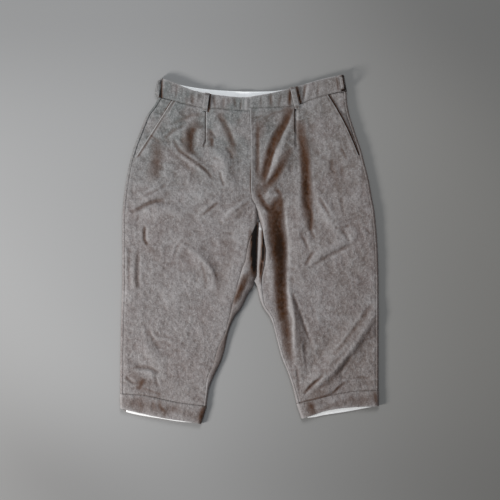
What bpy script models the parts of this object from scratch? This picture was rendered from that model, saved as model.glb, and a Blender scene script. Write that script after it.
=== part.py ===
"""Knee breeches in moleskin, laid flat with the front side up.

The waist lies toward +Y, the wearer's right leg toward -X, and the surface they rest on is z = 0.
Each leg is a flattened tube. The back panel lies on the surface, turns up round the outer and the
inner fold, and meets the front panel on top. Every piece is a sheet of points halfway through the
cloth, which a Solidify modifier gives its thickness.
"""
import bmesh
import bpy
import numpy as np

MM = 0.001

# Cloth
CLOTH = 1.3 * MM              # one layer of moleskin
BAND = 2.6 * MM               # two layers and interfacing, in the waistband and the knee bands
COTTON = 0.8 * MM             # white lining and facings
LOOP = 1.8 * MM               # belt loop, folded in three
SEAM_GAP = 0.3 * MM           # between pieces that are sewn together
EDGE_ON_GAP = (CLOTH + SEAM_GAP) / 2    # half the gap where two sheets stand on edge side by side
POCKET_CLEARANCE = 1.0 * MM   # between the front panel and the pocket facing beneath it
BAND_RISE = 0.8 * MM          # how far a band stands above the panel it is sewn to

# Folds of the flattened tubes
OUTER_FOLD = 6.0 * MM         # plan width of the turn at the outer side of a leg
INNER_FOLD = 5.0 * MM         # plan width of the turn at the inner side of a leg
WAIST_FOLD = 8.0 * MM         # plan width of the turn of the waistband
TURN_ANGLES = np.radians([0.0, 30.0, 60.0, 90.0])

# Pleat beside each front belt loop
PLEAT_DEPTH = 20.0 * MM       # how far the cloth runs back under the pleat's edge
PLEAT_PITCH = 1.7 * MM        # from one layer of the pleat to the next
PLEAT_DIP = 9.0 * MM          # plan width over which the cloth dips below the pleat's edge

# Rows of each panel, counted down the leg
ROWS_TO_FORK = 12
ROWS_TO_TIP = 9
ROWS_TO_CUFF = 15
FORK_ROW = ROWS_TO_FORK
TIP_ROW = FORK_ROW + ROWS_TO_TIP
LAST_ROW = TIP_ROW + ROWS_TO_CUFF
PLEAT_END_ROW = 4             # row at the lower end of the pleat
MOUTH_ROW = 7                 # row at the lower end of the pocket mouth
GUSSET_ROW = FORK_ROW + 2     # where the four leg seams meet, and the back panel's upper edge starts

# Columns of a front panel, from the outer side to the centre
COLUMNS_BEFORE_PLEAT = 6
COLUMNS_AFTER_PLEAT = 8
UNDERSIDE_COLUMNS = 6         # columns of a back panel between its two turns

# Belt loops
LOOP_WIDTH = 11.0 * MM
LOOP_BOW = 4.9 * MM           # clear height for a belt under a front loop
SIDE_LOOP_BOW = 6.6 * MM
LOOP_TAIL = 8.0 * MM          # length of a front loop below the waistband
SIDE_LOOP_TAIL = -1.0 * MM    # a side loop stops just above the seam
LOOP_RAMP = 5.0 * MM

COLOURS = {"moleskin": (0.187, 0.178, 0.170, 1.0), "cotton": (0.80, 0.79, 0.76, 1.0)}


def table(names, *rows):
    """Named columns in metres from rows in millimetres."""
    values = np.array(rows, dtype=float) * MM
    return {name: values[:, i] for i, name in enumerate(names.split())}


# Height of the cloth's upper face above the surface, down the garment
LAY_HEIGHT = table("y height", (400, 14.5), (250, 14.3), (100, 14.0), (-100, 13.0), (-330, 12.0), (-400, 12.0))

# Height of the inner turn's outermost line, down the inside of a leg
INNER_TURN = table("y height", (100, 4.0), (-70, 4.6), (-140, 5.6), (-200, 6.2), (-400, 6.0))

# The front edge at the centre, and the seat seam beneath it
CENTRE_FRONT = table("y x", (345, 1), (311, 0), (247, 2), (191, 3), (140, 2), (115, 5), (100, 13))
CENTRE_BACK = table("y x", (360, -18), (313, -14), (200, -8), (60, 0), (-70, 9))
CROTCH_SEAM = table("y x", (100, 13), (82, 17), (62, 19), (7, 17), (-25, 15.5), (-56, 14.5), (-70, 9))

# The fronts dive into the recess at the fork: height over the crotch seam, and slope beside it
CROTCH_DIVE = table("y height", (108, 60), (100, 15), (82, 9), (62, 6), (-60, 5), (-90, 60))
DIVE_SLOPE = 1.2

RIGHT = {
    "name": "right",
    "sign": -1,
    "outer": table("y x", (342, -204), (320, -217), (302, -231), (266, -246), (230, -260), (193, -270),
                   (157, -277), (103, -284), (60, -286), (-60, -286), (-130, -288), (-215, -290),
                   (-330, -291)),
    "inner": table("y x", (-70, 9), (-83, 6.5), (-94, -2), (-112, -11), (-130, -20), (-148, -34),
                   (-180, -48), (-216, -56), (-245, -64), (-281, -81), (-313, -93), (-350, -98)),
    "inseam": table("y x", (100, 13), (82, 17), (62, 15), (43, 7), (24, -1), (0, -7), (-22, -10),
                    (-40, -17), (-79, -28), (-112, -37), (-151, -46), (-184, -55), (-220, -72),
                    (-256, -82), (-292, -97), (-331, -101), (-350, -104)),
    "waist_seam": table("x y", (-204, 342), (-174, 335), (-146, 327), (-106, 319), (-74, 317),
                        (-34, 313), (0, 311)),
    "back_waist_seam": table("x y", (-204, 342), (-176, 332), (-90, 316), (-14, 312)),
    "front_edge": table("x y", (-196, 384), (-166, 375), (-122, 357), (-74, 347), (-16, 342), (1, 343)),
    "back_edge": table("x y", (-196, 384), (-176, 375), (-90, 360), (-14, 355)),
    "cuff_seam": table("x y", (-291, -322), (-245, -325), (-194, -335), (-154, -343), (-98, -350)),
    "front_hem": table("x y", (-290, -355), (-235, -368), (-174, -380), (-118, -388), (-111, -390)),
    "back_hem": table("x y", (-290, -355), (-275, -366), (-194, -381), (-154, -387), (-111, -390)),
    "mouth": ((-174 * MM, 335 * MM), (-254 * MM, 212 * MM)),
    "mouth_gape": 0.4 * MM,
    "rows": {"outer": (342 * MM, 112 * MM, -40 * MM, -322 * MM),
             "centre": (311 * MM, 100 * MM, -70 * MM, -350 * MM)},
    "pleat": -98 * MM,
    "folds": table(
        "x1 y1 x2 y2 x3 y3 height left right",
        (-187, 250, -162, 274, -118, 276, 4.0, 14, 20),
        (-176, 252, -137, 207, -80, 156, 4.5, 12, 16),
        (-86, 235, -56, 190, -38, 130, 4.5, 22, 18),
        (-191, 144, -225, 128, -274, 97, 3.5, 16, 14),
        (-270, 79, -214, 101, -126, 80, 4.0, 14, 18),
        (5, 114, -27, 90, -66, 62, 5.0, 12, 14),
        (-65, 117, -90, 97, -118, 72, 3.5, 14, 12),
        (-144, 12, -96, -29, -74, -96, 4.0, 18, 16),
        (10, 68, -22, -40, -66, -190, 8.0, 24, 34),
        (-142, 34, -160, 4, -176, -32, 3.0, 16, 16),
        (-277, -2, -262, -56, -268, -118, 2.5, 14, 18),
        (-252, -194, -222, -236, -190, -266, 3.5, 16, 18),
        (-286, -259, -248, -272, -186, -285, 3.0, 10, 14),
    ),
}

LEFT = {
    "name": "left",
    "sign": 1,
    "outer": table("y x", (355, 216), (335, 217), (302, 223), (283, 229), (247, 241), (227, 248),
                   (193, 257), (157, 266), (112, 274), (85, 279), (0, 286), (-83, 288), (-330, 288)),
    "inner": table("y x", (-70, 9), (-79, 15), (-94, 19), (-112, 23.5), (-130, 31.5), (-148, 44),
                   (-166, 52), (-205, 62), (-238, 71), (-274, 85.5), (-310, 97), (-344, 105)),
    "inseam": table("y x", (100, 13), (82, 17), (62, 23), (43, 29), (16, 32.5), (-4, 36), (-27, 34.5),
                    (-67, 27), (-79, 27), (-100, 29), (-119, 32), (-153, 52), (-184, 60), (-245, 78),
                    (-292, 96), (-333, 108), (-344, 111)),
    "waist_seam": table("x y", (0, 318), (66, 320), (99, 323), (147, 340), (199, 353), (216, 355)),
    "back_waist_seam": table("x y", (-14, 312), (46, 312), (95, 320), (187, 348), (216, 355)),
    "front_edge": table("x y", (1, 343), (46, 351), (87, 361), (187, 388), (210, 391)),
    "back_edge": table("x y", (-14, 355), (46, 356), (95, 363), (187, 388), (210, 391)),
    "cuff_seam": table("x y", (105, -344), (150, -334), (200, -322), (245, -316), (288, -315)),
    "front_hem": table("x y", (117, -378), (181, -358), (219, -353), (288, -350)),
    "back_hem": table("x y", (117, -378), (140, -377), (167, -372), (219, -364), (275, -353), (288, -350)),
    "mouth": ((174 * MM, 347 * MM), (242 * MM, 213 * MM)),
    "mouth_gape": 2.6 * MM,
    "rows": {"outer": (355 * MM, 112 * MM, -40 * MM, -315 * MM),
             "centre": (318 * MM, 100 * MM, -70 * MM, -344 * MM)},
    "pleat": 100 * MM,
    "folds": table(
        "x1 y1 x2 y2 x3 y3 height left right",
        (86, 246, 68, 206, 36, 142, 5.5, 26, 12),
        (104, 226, 124, 158, 142, 20, -2.5, 18, 20),
        (112, 200, 110, 120, 118, 40, 3.0, 16, 14),
        (34, 128, 58, 106, 78, 132, 2.5, 12, 12),
        (14, 104, 36, 22, 60, -120, 9.0, 32, 16),
        (72, 126, 94, -20, 80, -190, -3.5, 22, 26),
        (116, -40, 182, 14, 248, 34, 4.0, 16, 14),
        (151, 121, 182, 74, 206, 16, 4.0, 18, 16),
        (82, -62, 104, -180, 112, -292, 6.0, 16, 14),
        (284, -122, 206, -232, 122, -322, 8.0, 30, 26),
        (214, -288, 178, -320, 134, -334, 3.0, 10, 12),
        (192, 244, 206, 220, 224, 190, 2.5, 14, 14),
    ),
}


def smooth(knots, values, at):
    """Curve through the knots that never runs past them."""
    if knots[0] > knots[-1]:
        knots, values = knots[::-1], values[::-1]
    step = np.diff(knots)
    slope = np.diff(values) / step
    product = slope[:-1] * slope[1:]
    total = slope[:-1] + slope[1:]
    turning = product <= 0
    middle = np.where(turning, 0.0, 2 * product / np.where(turning, 1.0, total))
    tangent = np.concatenate(([slope[0]], middle, [slope[-1]]))
    at = np.clip(np.asarray(at, dtype=float), knots[0], knots[-1])
    k = np.clip(np.searchsorted(knots, at, side="right") - 1, 0, len(step) - 1)
    t = (at - knots[k]) / step[k]
    rise = values[k + 1] - values[k]
    return (values[k] + rise * t * t * (3 - 2 * t)
            + step[k] * t * (1 - t) * (tangent[k] * (1 - t) - tangent[k + 1] * t))


def along(curve, key, at):
    """Value of a two-column table at the given place in its key column."""
    other = next(name for name in curve if name != key)
    return smooth(curve[key], curve[other], at)


def fold_lift(folds, x, y):
    """Height that the soft ridges and troughs of one leg add at each point."""
    lift = np.zeros_like(x)
    t = np.linspace(0, 1, 17)
    for k in range(len(folds["height"])):
        row = {name: column[k] for name, column in folds.items()}
        bend = [(1 - t) ** 2, 2 * t * (1 - t), t ** 2]
        line_x = bend[0] * row["x1"] + bend[1] * row["x2"] + bend[2] * row["x3"]
        line_y = bend[0] * row["y1"] + bend[1] * row["y2"] + bend[2] * row["y3"]
        away_x = x[..., None] - line_x
        away_y = y[..., None] - line_y
        distance = np.hypot(away_x, away_y)
        near = distance.argmin(axis=-1)
        run_x, run_y = np.gradient(line_x), np.gradient(line_y)
        pick = (*np.indices(x.shape), near)
        side = run_x[near] * away_y[pick] - run_y[near] * away_x[pick]
        width = np.where(side > 0, row["left"], row["right"])
        across = np.clip(distance[pick] / width, 0, 1)
        taper = np.sin(np.pi * t[near]) ** 0.6
        lift += row["height"] * taper * (0.5 + 0.5 * np.cos(np.pi * across)) ** 1.2
    return lift


def cloth_top(leg, x, y):
    """Height of the upper face of the cloth on one leg."""
    x, y = np.broadcast_arrays(np.asarray(x, dtype=float), np.asarray(y, dtype=float))
    lying = along(LAY_HEIGHT, "y", y) + fold_lift(leg["folds"], x, y)
    from_seam = np.abs(x - along(CROTCH_SEAM, "y", y))
    return np.minimum(lying, along(CROTCH_DIVE, "y", y) + DIVE_SLOPE * from_seam)


def row_values(anchors):
    """Row positions, evenly spread between the waist, the fork, the tip and the cuff."""
    parts = [np.linspace(anchors[0], anchors[1], ROWS_TO_FORK + 1)[:-1],
             np.linspace(anchors[1], anchors[2], ROWS_TO_TIP + 1)[:-1],
             np.linspace(anchors[2], anchors[3], ROWS_TO_CUFF + 1)]
    return np.concatenate(parts)


def outer_edge(leg):
    """Points of the outer fold, one for each row."""
    y = row_values(leg["rows"]["outer"])
    return np.stack([along(leg["outer"], "y", y), y], axis=1)


def outseam(leg):
    edge = outer_edge(leg)
    edge[:, 0] -= leg["sign"] * OUTER_FOLD
    return edge


def front_inner_edge(leg):
    """Centre front down to the fork, then the inseam down to the cuff."""
    y = row_values(leg["rows"]["centre"])
    x = np.where(y >= CENTRE_FRONT["y"][-1], along(CENTRE_FRONT, "y", y), along(leg["inseam"], "y", y))
    y[-1] = along(leg["cuff_seam"], "x", x[-1])
    return np.stack([x, y], axis=1)


def span(first, last, curve, fraction):
    """Points of a curve y(x) at fractions of the way between two x positions."""
    x = first + (last - first) * fraction
    return np.stack([x, along(curve, "x", x)], axis=-1)


def panel_plan(outer, inner, top_curve, bottom_curve, fraction):
    """Plan of a panel from its four edges, as rows of points at the given fractions across.

    fraction has one row for each row of the panel.
    """
    down = (outer[0, 1] - outer[:, 1]) / (outer[0, 1] - outer[-1, 1])
    u = fraction[..., None]
    straight = outer[:, None, :] * (1 - u) + inner[:, None, :] * u
    top = span(outer[0, 0], inner[0, 0], top_curve, fraction)
    top -= outer[0] * (1 - u) + inner[0] * u
    bottom = span(outer[-1, 0], inner[-1, 0], bottom_curve, fraction)
    bottom -= outer[-1] * (1 - u) + inner[-1] * u
    fade = down[:, None, None]
    return straight + top * (1 - fade) ** 2 + bottom * fade ** 2


def draw_in(points, edges, gap=SEAM_GAP / 2):
    """Pull the named edges of a grid back in plan, to leave half a seam gap."""
    slices = {"top": ((0,), (1,)), "bottom": ((-1,), (-2,)),
              "first": ((slice(None), 0), (slice(None), 1)),
              "last": ((slice(None), -1), (slice(None), -2))}
    for edge in edges:
        here, there = slices[edge]
        run = points[there] - points[here]
        length = np.linalg.norm(run[..., :2], axis=-1, keepdims=True)
        points[here] = points[here] + run * gap / np.maximum(length, gap)
    return points


def pleat_columns(leg, outer, inner):
    """Columns of a front panel: fractions across each row when the pleat is shut, and their depth.

    The pleat's hidden inner edge slides out to its visible edge in the last row that is shut.
    """
    half = PLEAT_PITCH / 2
    layers = (0.0, 1.1, 2.0, 2.0, 1.5, 1.0, 1.0, 0.5, 0.0)
    depth = np.zeros(COLUMNS_BEFORE_PLEAT + len(layers) + COLUMNS_AFTER_PLEAT)
    depth[COLUMNS_BEFORE_PLEAT:-COLUMNS_AFTER_PLEAT] = np.array(layers) * PLEAT_PITCH
    shut = []
    for row, (first, last) in enumerate(zip(outer[:, 0], inner[:, 0])):
        back = (PLEAT_DEPTH if row < PLEAT_END_ROW else 2.3 * half) - half
        places = (-PLEAT_DIP, -0.55 * PLEAT_DIP, -0.2 * PLEAT_DIP, back, back + half, back, half, 0.0, half)
        reach = abs(last - first)
        fold = (leg["pleat"] - first) / (last - first) + np.array(places) / reach
        before = np.linspace(0, fold[0], COLUMNS_BEFORE_PLEAT + 1)[:-1]
        after = np.linspace(fold[-1], 1, COLUMNS_AFTER_PLEAT + 1)[1:]
        shut.append(np.concatenate([before, fold, after]))
    return np.array(shut), depth


def pleat_closure():
    """How far each row's columns are drawn into the pleat, and how far its layers stand apart."""
    sideways = np.zeros(LAST_ROW + 1)
    layers = np.zeros(LAST_ROW + 1)
    sideways[:PLEAT_END_ROW + 1] = 1.0
    layers[:PLEAT_END_ROW + 1] = 1.0
    sideways[PLEAT_END_ROW + 1] = 0.8
    layers[PLEAT_END_ROW + 1:PLEAT_END_ROW + 3] = (1.3, 0.4)
    return sideways, layers


def front_outer_edge(leg):
    """The pocket mouth, then the outseam."""
    edge = outseam(leg)
    start, end = np.array(leg["mouth"][0]), np.array(leg["mouth"][1])
    part = np.linspace(0, 1, MOUTH_ROW + 1)[:, None]
    edge[:MOUTH_ROW + 1] = start * (1 - part) + end * part
    return edge


def add_piece(name, grids, thickness, finish, closed=False):
    """One solid from grids of points, joined where they share points."""
    mesh = bpy.data.meshes.new(name)
    shape = bmesh.new()
    for points in grids:
        rows, columns = points.shape[:2]
        corners = [[shape.verts.new(points[i, j]) for j in range(columns)] for i in range(rows)]
        for i in range(rows - 1):
            for j in range(columns if closed else columns - 1):
                k = (j + 1) % columns
                shape.faces.new((corners[i][j], corners[i + 1][j], corners[i + 1][k], corners[i][k]))
    bmesh.ops.remove_doubles(shape, verts=shape.verts, dist=0.01 * MM)
    bmesh.ops.recalc_face_normals(shape, faces=shape.faces)
    shape.to_mesh(mesh)
    shape.free()
    mesh.shade_smooth()
    mesh.materials.append(finish)
    piece = bpy.data.objects.new(name, mesh)
    bpy.context.collection.objects.link(piece)
    wall = piece.modifiers.new("wall", "SOLIDIFY")
    wall.thickness = thickness
    wall.offset = 0.0
    return piece


def crotch_gap(first_row):
    """Half the gap at the inner edge of each row, wider where the sheets stand on edge."""
    gap = np.full((LAST_ROW + 1, 1), SEAM_GAP / 2)
    gap[FORK_ROW:GUSSET_ROW + 1] = EDGE_ON_GAP
    gap[GUSSET_ROW + 1:GUSSET_ROW + 4] = 0.6 * EDGE_ON_GAP
    return gap[first_row:]


def add_front(leg, finish):
    outer, inner = front_outer_edge(leg), front_inner_edge(leg)
    shut, depth = pleat_columns(leg, outer, inner)
    even = np.linspace(0, 1, len(depth))
    sideways, layers = pleat_closure()
    fraction = even + (shut - even) * sideways[:, None]
    plan = panel_plan(outer, inner, leg["waist_seam"], leg["cuff_seam"], fraction)
    top = cloth_top(leg, plan[..., 0], plan[..., 1])
    height = top - CLOTH / 2 - depth * layers[:, None]
    points = np.concatenate([plan, height[..., None]], axis=-1)
    draw_in(points, ("top", "bottom"), SEAM_GAP)
    draw_in(points, ("first",))
    draw_in(points, ("last",), crotch_gap(0))
    return add_piece("front_" + leg["name"], [points], CLOTH, finish)


def turn_profile(outermost, end):
    """Heights round half a turn of each row, from its outermost line to its upper or lower end."""
    return outermost[:, None] + (end - outermost)[:, None] * np.sin(TURN_ANGLES)


def back_inner_edge(leg):
    """The seat seam down to the tip of the fork, then the inner fold."""
    y = row_values((CENTRE_BACK["y"][1], 110 * MM, leg["rows"]["centre"][2], leg["rows"]["centre"][3]))
    x = np.where(y >= leg["rows"]["centre"][2], along(CENTRE_BACK, "y", y), along(leg["inner"], "y", y))
    return np.stack([x, y], axis=1)


def gusset_edge(leg):
    """Where the turned-up edge of the back panel starts: crotch seam, then the inner fold."""
    y = row_values(leg["rows"]["centre"])
    x = np.where(y >= leg["rows"]["centre"][2], along(CROTCH_SEAM, "y", y), along(leg["inner"], "y", y))
    return np.stack([x, y], axis=1)


def add_back(leg, finish):
    outer, inner = outer_edge(leg), back_inner_edge(leg)
    sign = leg["sign"]
    turn = 1 - np.cos(TURN_ANGLES)
    width = np.abs(inner[:, 0] - outer[:, 0])
    low = np.full(len(outer), CLOTH / 2)

    # Underside, flat between the two turns
    first = turn * OUTER_FOLD / width[:, None]
    last = 1 - turn[::-1] * INNER_FOLD / width[:, None]
    middle = first[:, -1:] + (last[:, :1] - first[:, -1:]) * np.linspace(0, 1, UNDERSIDE_COLUMNS + 2)[1:-1]
    fraction = np.concatenate([first, middle, last], axis=1)
    plan = panel_plan(outer, inner, leg["back_waist_seam"], leg["cuff_seam"], fraction)
    seam = outseam(leg)
    top = cloth_top(leg, seam[:, 0], seam[:, 1]) - CLOTH / 2
    outermost = (low + top) / 2
    turn_line = along(INNER_TURN, "y", inner[:, 1])
    from_tip = np.hypot(plan[..., 0] - inner[TIP_ROW, 0], plan[..., 1] - inner[TIP_ROW, 1])
    across = np.abs(plan[..., 0] - inner[:, None, 0])
    distance = np.where(np.arange(len(outer))[:, None] <= TIP_ROW, from_tip, across)
    part = np.clip(distance / INNER_FOLD, 0, 1)
    lowered = np.sqrt(1 - (1 - part) ** 2)
    height = turn_line[:, None] - (turn_line - low)[:, None] * lowered
    height[:, :len(turn)] = turn_profile(outermost, low)
    under = np.concatenate([plan, height[..., None]], axis=-1)

    # Outer edge, turned up to the outseam
    strip_x = outer[:, :1] - sign * OUTER_FOLD * turn[::-1]
    strip_y = np.repeat(outer[:, 1:], len(turn), axis=1)
    strip_y[0] = along(leg["waist_seam"], "x", strip_x[0])
    strip_y[-1] = along(leg["cuff_seam"], "x", strip_x[-1])
    strip_z = turn_profile(outermost, top)[:, ::-1]
    strip = np.stack([strip_x, strip_y, strip_z], axis=-1)
    under = np.concatenate([strip[:, :-1], under], axis=1)
    draw_in(under, ("top", "bottom"), SEAM_GAP)
    draw_in(under, ("first",))
    draw_in(under[:TIP_ROW - 1], ("last",))
    draw_in(under[TIP_ROW - 1:TIP_ROW + 1], ("last",), EDGE_ON_GAP)

    # Inner edge, turned up to the inseam
    start, end = gusset_edge(leg)[GUSSET_ROW:], front_inner_edge(leg)[GUSSET_ROW:]
    share = turn[None, :, None]
    flap_plan = start[:, None, :] * (1 - share) + end[:, None, :] * share
    rim = cloth_top(leg, end[:, 0], end[:, 1]) - CLOTH / 2
    crease = along(INNER_TURN, "y", start[:, 1])
    flap_z = turn_profile(crease, rim)
    flap = np.concatenate([flap_plan, flap_z[..., None]], axis=-1)
    draw_in(flap, ("bottom",), SEAM_GAP)
    draw_in(flap, ("last",), crotch_gap(GUSSET_ROW))
    open_rows = TIP_ROW - GUSSET_ROW
    draw_in(flap[:open_rows], ("first",), 1.3 * EDGE_ON_GAP)
    flap[open_rows:, 0] = under[TIP_ROW:, -1]
    return add_piece("back_" + leg["name"], [under, flap], CLOTH, finish)


def band_points(leg, face, from_side, share, rise=0.0):
    """Points halfway through the waistband.

    face is front or back, from_side the plan distance from the side fold, share the part of the
    way from the seam to the edge, and rise what lifts the band off the surface.
    """
    seam = leg["waist_seam"] if face == "front" else leg["back_waist_seam"]
    edge = leg["front_edge"] if face == "front" else leg["back_edge"]
    sign = leg["sign"]
    ends = [(curve["x"][0], curve["x"][-1]) if sign < 0 else (curve["x"][-1], curve["x"][0])
            for curve in (seam, edge)]
    width = abs(ends[0][1] - ends[0][0])
    q = from_side / width
    low_point = span(ends[0][0], ends[0][1], seam, q)
    high_point = span(ends[1][0], ends[1][1], edge, q)
    plan = low_point + (high_point - low_point) * share[..., None]
    part = np.clip(from_side / WAIST_FOLD, 0, 1)
    round_off = np.sqrt(1 - (1 - part) ** 2)
    bottom = BAND / 2
    top = along(LAY_HEIGHT, "y", plan[..., 1]) + BAND_RISE - BAND / 2
    middle = (bottom + top) / 2
    if face == "front":
        height = middle + (top - middle) * round_off
    else:
        height = middle - (middle - bottom) * round_off + rise
    return np.concatenate([plan, height[..., None]], axis=-1)


def centre_rise(leg, from_side, width):
    """Lift of the waistband over the loop beneath its centre back."""
    clear = LOOP + SEAM_GAP
    from_centre = width - from_side
    part = np.clip((from_centre - 9 * MM) / (16 * MM), 0, 1)
    return clear * (1 - part * part * (3 - 2 * part))


def add_waistband(leg, finish):
    front_width = abs(leg["waist_seam"]["x"][0] - leg["waist_seam"]["x"][-1])
    back_width = abs(leg["back_waist_seam"]["x"][0] - leg["back_waist_seam"]["x"][-1])
    turn = WAIST_FOLD * (1 - np.cos(TURN_ANGLES))
    front_steps = np.concatenate([turn, np.linspace(WAIST_FOLD, front_width, 12)[1:]])
    back_steps = np.concatenate([turn, np.linspace(WAIST_FOLD, back_width - 25 * MM, 8)[1:],
                                 back_width - np.array([17, 9, 0]) * MM])
    shares = np.linspace(0, 1, 4)
    front_at, front_share = np.meshgrid(front_steps, shares)
    back_at, back_share = np.meshgrid(back_steps, shares)
    front = band_points(leg, "front", front_at, front_share)
    back = band_points(leg, "back", back_at, back_share, centre_rise(leg, back_at, back_width))
    points = np.concatenate([front[:, ::-1], back[:, 1:]], axis=1)
    draw_in(points, ("top",), SEAM_GAP)
    draw_in(points, ("first", "last"))
    return add_piece("waistband_" + leg["name"], [points], BAND, finish)


def add_waist_lining(finish):
    """White lining on the inside of the back waistband, from side to side."""
    halves = []
    for leg in (RIGHT, LEFT):
        width = abs(leg["back_waist_seam"]["x"][0] - leg["back_waist_seam"]["x"][-1])
        steps = np.concatenate([np.linspace(14 * MM, width - 25 * MM, 8), width - np.array([17, 9, 0]) * MM])
        at, share = np.meshgrid(steps, np.linspace(0.12, 0.97, 3))
        half = band_points(leg, "back", at, share, centre_rise(leg, at, width))
        half[..., 2] += BAND / 2 + SEAM_GAP + COTTON / 2
        halves.append(half if leg is RIGHT else half[:, ::-1])
    points = np.concatenate([halves[0], halves[1][:, 1:]], axis=1)
    return add_piece("waist_lining", [points], COTTON, finish)


def add_belt_loop(name, leg, from_side, tail, bow, finish):
    """A loop over the front waistband, bowed clear of it for a belt."""
    shares = np.array([0.0, 1.0])
    line = band_points(leg, "front", np.full(2, from_side), shares)
    beside = band_points(leg, "front", np.full(2, from_side + 0.5 * MM), shares)
    upward = line[1] - line[0]
    length = np.linalg.norm(upward)
    upward /= length
    across = beside[0] - line[0]
    across -= upward * across.dot(upward)
    across /= np.linalg.norm(across)
    outward = np.cross(upward, across)
    if outward[2] < 0 or (from_side == 0 and outward[0] * leg["sign"] < 0):
        outward = -outward
    near = BAND / 2 + SEAM_GAP + LOOP / 2
    far = BAND / 2 + bow + LOOP / 2
    stations = [(-tail, near), (-tail + 4 * MM, near), (-tail + 4 * MM + LOOP_RAMP, far),
                (length / 2, far + 0.5 * MM), (length - 2 * MM - LOOP_RAMP, far), (length - 2 * MM, near),
                (length + 1 * MM, near)]
    sides = np.array([-0.5, 0.0, 0.5]) * LOOP_WIDTH
    points = np.array([[line[0] + upward * up + outward * out + across * side for side in sides]
                       for up, out in stations])
    return add_piece(name, [points], LOOP, finish)


def add_back_loop(finish):
    """The centre-back loop, pressed flat between the waistband and the surface."""
    centre, seam, edge = CENTRE_BACK["x"][1], RIGHT["back_waist_seam"]["y"][-1], RIGHT["back_edge"]["y"][-1]
    x = centre + np.array([-0.5, 0.0, 0.5]) * LOOP_WIDTH
    y = np.linspace(seam + 2 * MM, edge - 1 * MM, 4)
    grid_x, grid_y = np.meshgrid(x, y)
    points = np.stack([grid_x, grid_y, np.full_like(grid_x, LOOP / 2)], axis=-1)
    return add_piece("belt_loop_back", [points], LOOP, finish)


def add_pocket_facing(leg, finish):
    """The side piece that shows beyond the pocket mouth and runs on beneath the front panel."""
    seam, mouth = outseam(leg)[:MOUTH_ROW + 1], front_outer_edge(leg)[:MOUTH_ROW + 1]
    inward = np.array([[-leg["sign"] * 28 * MM, -6 * MM]])
    end = mouth + inward
    share = np.linspace(0, 1, 6)[None, :, None]
    plan = seam[:, None, :] * (1 - share) + end[:, None, :] * share
    plan[0, :, 1] = along(leg["waist_seam"], "x", plan[0, :, 0])
    part = np.linspace(0, 1, MOUTH_ROW + 1)
    drop = CLOTH + POCKET_CLEARANCE + leg["mouth_gape"] * np.sin(np.pi * part)
    top = cloth_top(leg, plan[..., 0], plan[..., 1])
    height = top - CLOTH / 2 - drop[:, None]
    points = np.concatenate([plan, height[..., None]], axis=-1)
    draw_in(points, ("top",), SEAM_GAP)
    draw_in(points, ("first",))
    return add_piece("pocket_facing_" + leg["name"], [points], CLOTH, finish)


def add_fly_underlap(finish):
    """The shield behind the fly, joined to the right front and running under the left."""
    y = np.linspace(RIGHT["rows"]["centre"][0] - 1 * MM, 150 * MM, 12)
    offsets = np.array([-10, 0, 12, 26, 40]) * MM
    centre = along(CENTRE_FRONT, "y", y)
    x = centre[:, None] + offsets
    grid_y = np.broadcast_to(y[:, None], x.shape)
    top = np.minimum(cloth_top(RIGHT, x, grid_y), cloth_top(LEFT, x, grid_y))
    height = top - CLOTH - 2 * SEAM_GAP - CLOTH / 2
    points = np.stack([x, grid_y, height], axis=-1)
    return add_piece("fly_underlap", [points], CLOTH, finish)


def cuff_section(leg, face, from_outer, share):
    """Points halfway through a knee band, at plan distances from its outer fold."""
    seam = leg["cuff_seam"]
    hem = leg["front_hem"] if face == "front" else leg["back_hem"]
    ends = [(curve["x"][0], curve["x"][-1]) if leg["sign"] < 0 else (curve["x"][-1], curve["x"][0])
            for curve in (seam, hem)]
    width = abs(ends[0][1] - ends[0][0])
    q = from_outer / width
    plan = span(*ends[0], seam, q)
    plan = plan + (span(*ends[1], hem, q) - plan) * share[..., None]
    nearest = np.minimum(from_outer, width - from_outer)
    round_off = np.sqrt(1 - (1 - np.clip(nearest / OUTER_FOLD, 0, 1)) ** 2)
    bottom = BAND / 2
    top = along(LAY_HEIGHT, "y", plan[..., 1]) + BAND_RISE - BAND / 2
    middle = (bottom + top) / 2
    height = middle + (top - middle) * round_off * (1 if face == "front" else -1)
    return np.concatenate([plan, height[..., None]], axis=-1)


def add_cuff(leg, finish):
    width = abs(leg["cuff_seam"]["x"][0] - leg["cuff_seam"]["x"][-1])
    turn = OUTER_FOLD * (1 - np.cos(TURN_ANGLES))
    steps = np.concatenate([turn, np.linspace(OUTER_FOLD, width - OUTER_FOLD, 9)[1:-1], width - turn[::-1]])
    at, share = np.meshgrid(steps, np.linspace(0, 1, 4))
    front = cuff_section(leg, "front", at, share)
    back = cuff_section(leg, "back", at, share)
    ring = np.concatenate([front, back[:, -2:0:-1]], axis=1)
    draw_in(ring, ("top",), SEAM_GAP)
    return add_piece("cuff_" + leg["name"], [ring], BAND, finish, closed=True)


def add_cuff_facing(leg, finish):
    """White facing on the inside of the back of a knee band."""
    width = abs(leg["cuff_seam"]["x"][0] - leg["cuff_seam"]["x"][-1])
    at, share = np.meshgrid(np.linspace(13 * MM, width - 13 * MM, 9), np.linspace(0.15, 0.97, 3))
    points = cuff_section(leg, "back", at, share)
    points[..., 2] += BAND / 2 + SEAM_GAP + COTTON / 2
    return add_piece("cuff_facing_" + leg["name"], [points], COTTON, finish)


def make_finish(name, roughness):
    finish = bpy.data.materials.new(name)
    finish.use_nodes = True
    shader = finish.node_tree.nodes["Principled BSDF"]
    shader.inputs["Base Color"].default_value = COLOURS[name]
    shader.inputs["Roughness"].default_value = roughness
    shader.inputs["Metallic"].default_value = 0.0
    return finish


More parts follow.
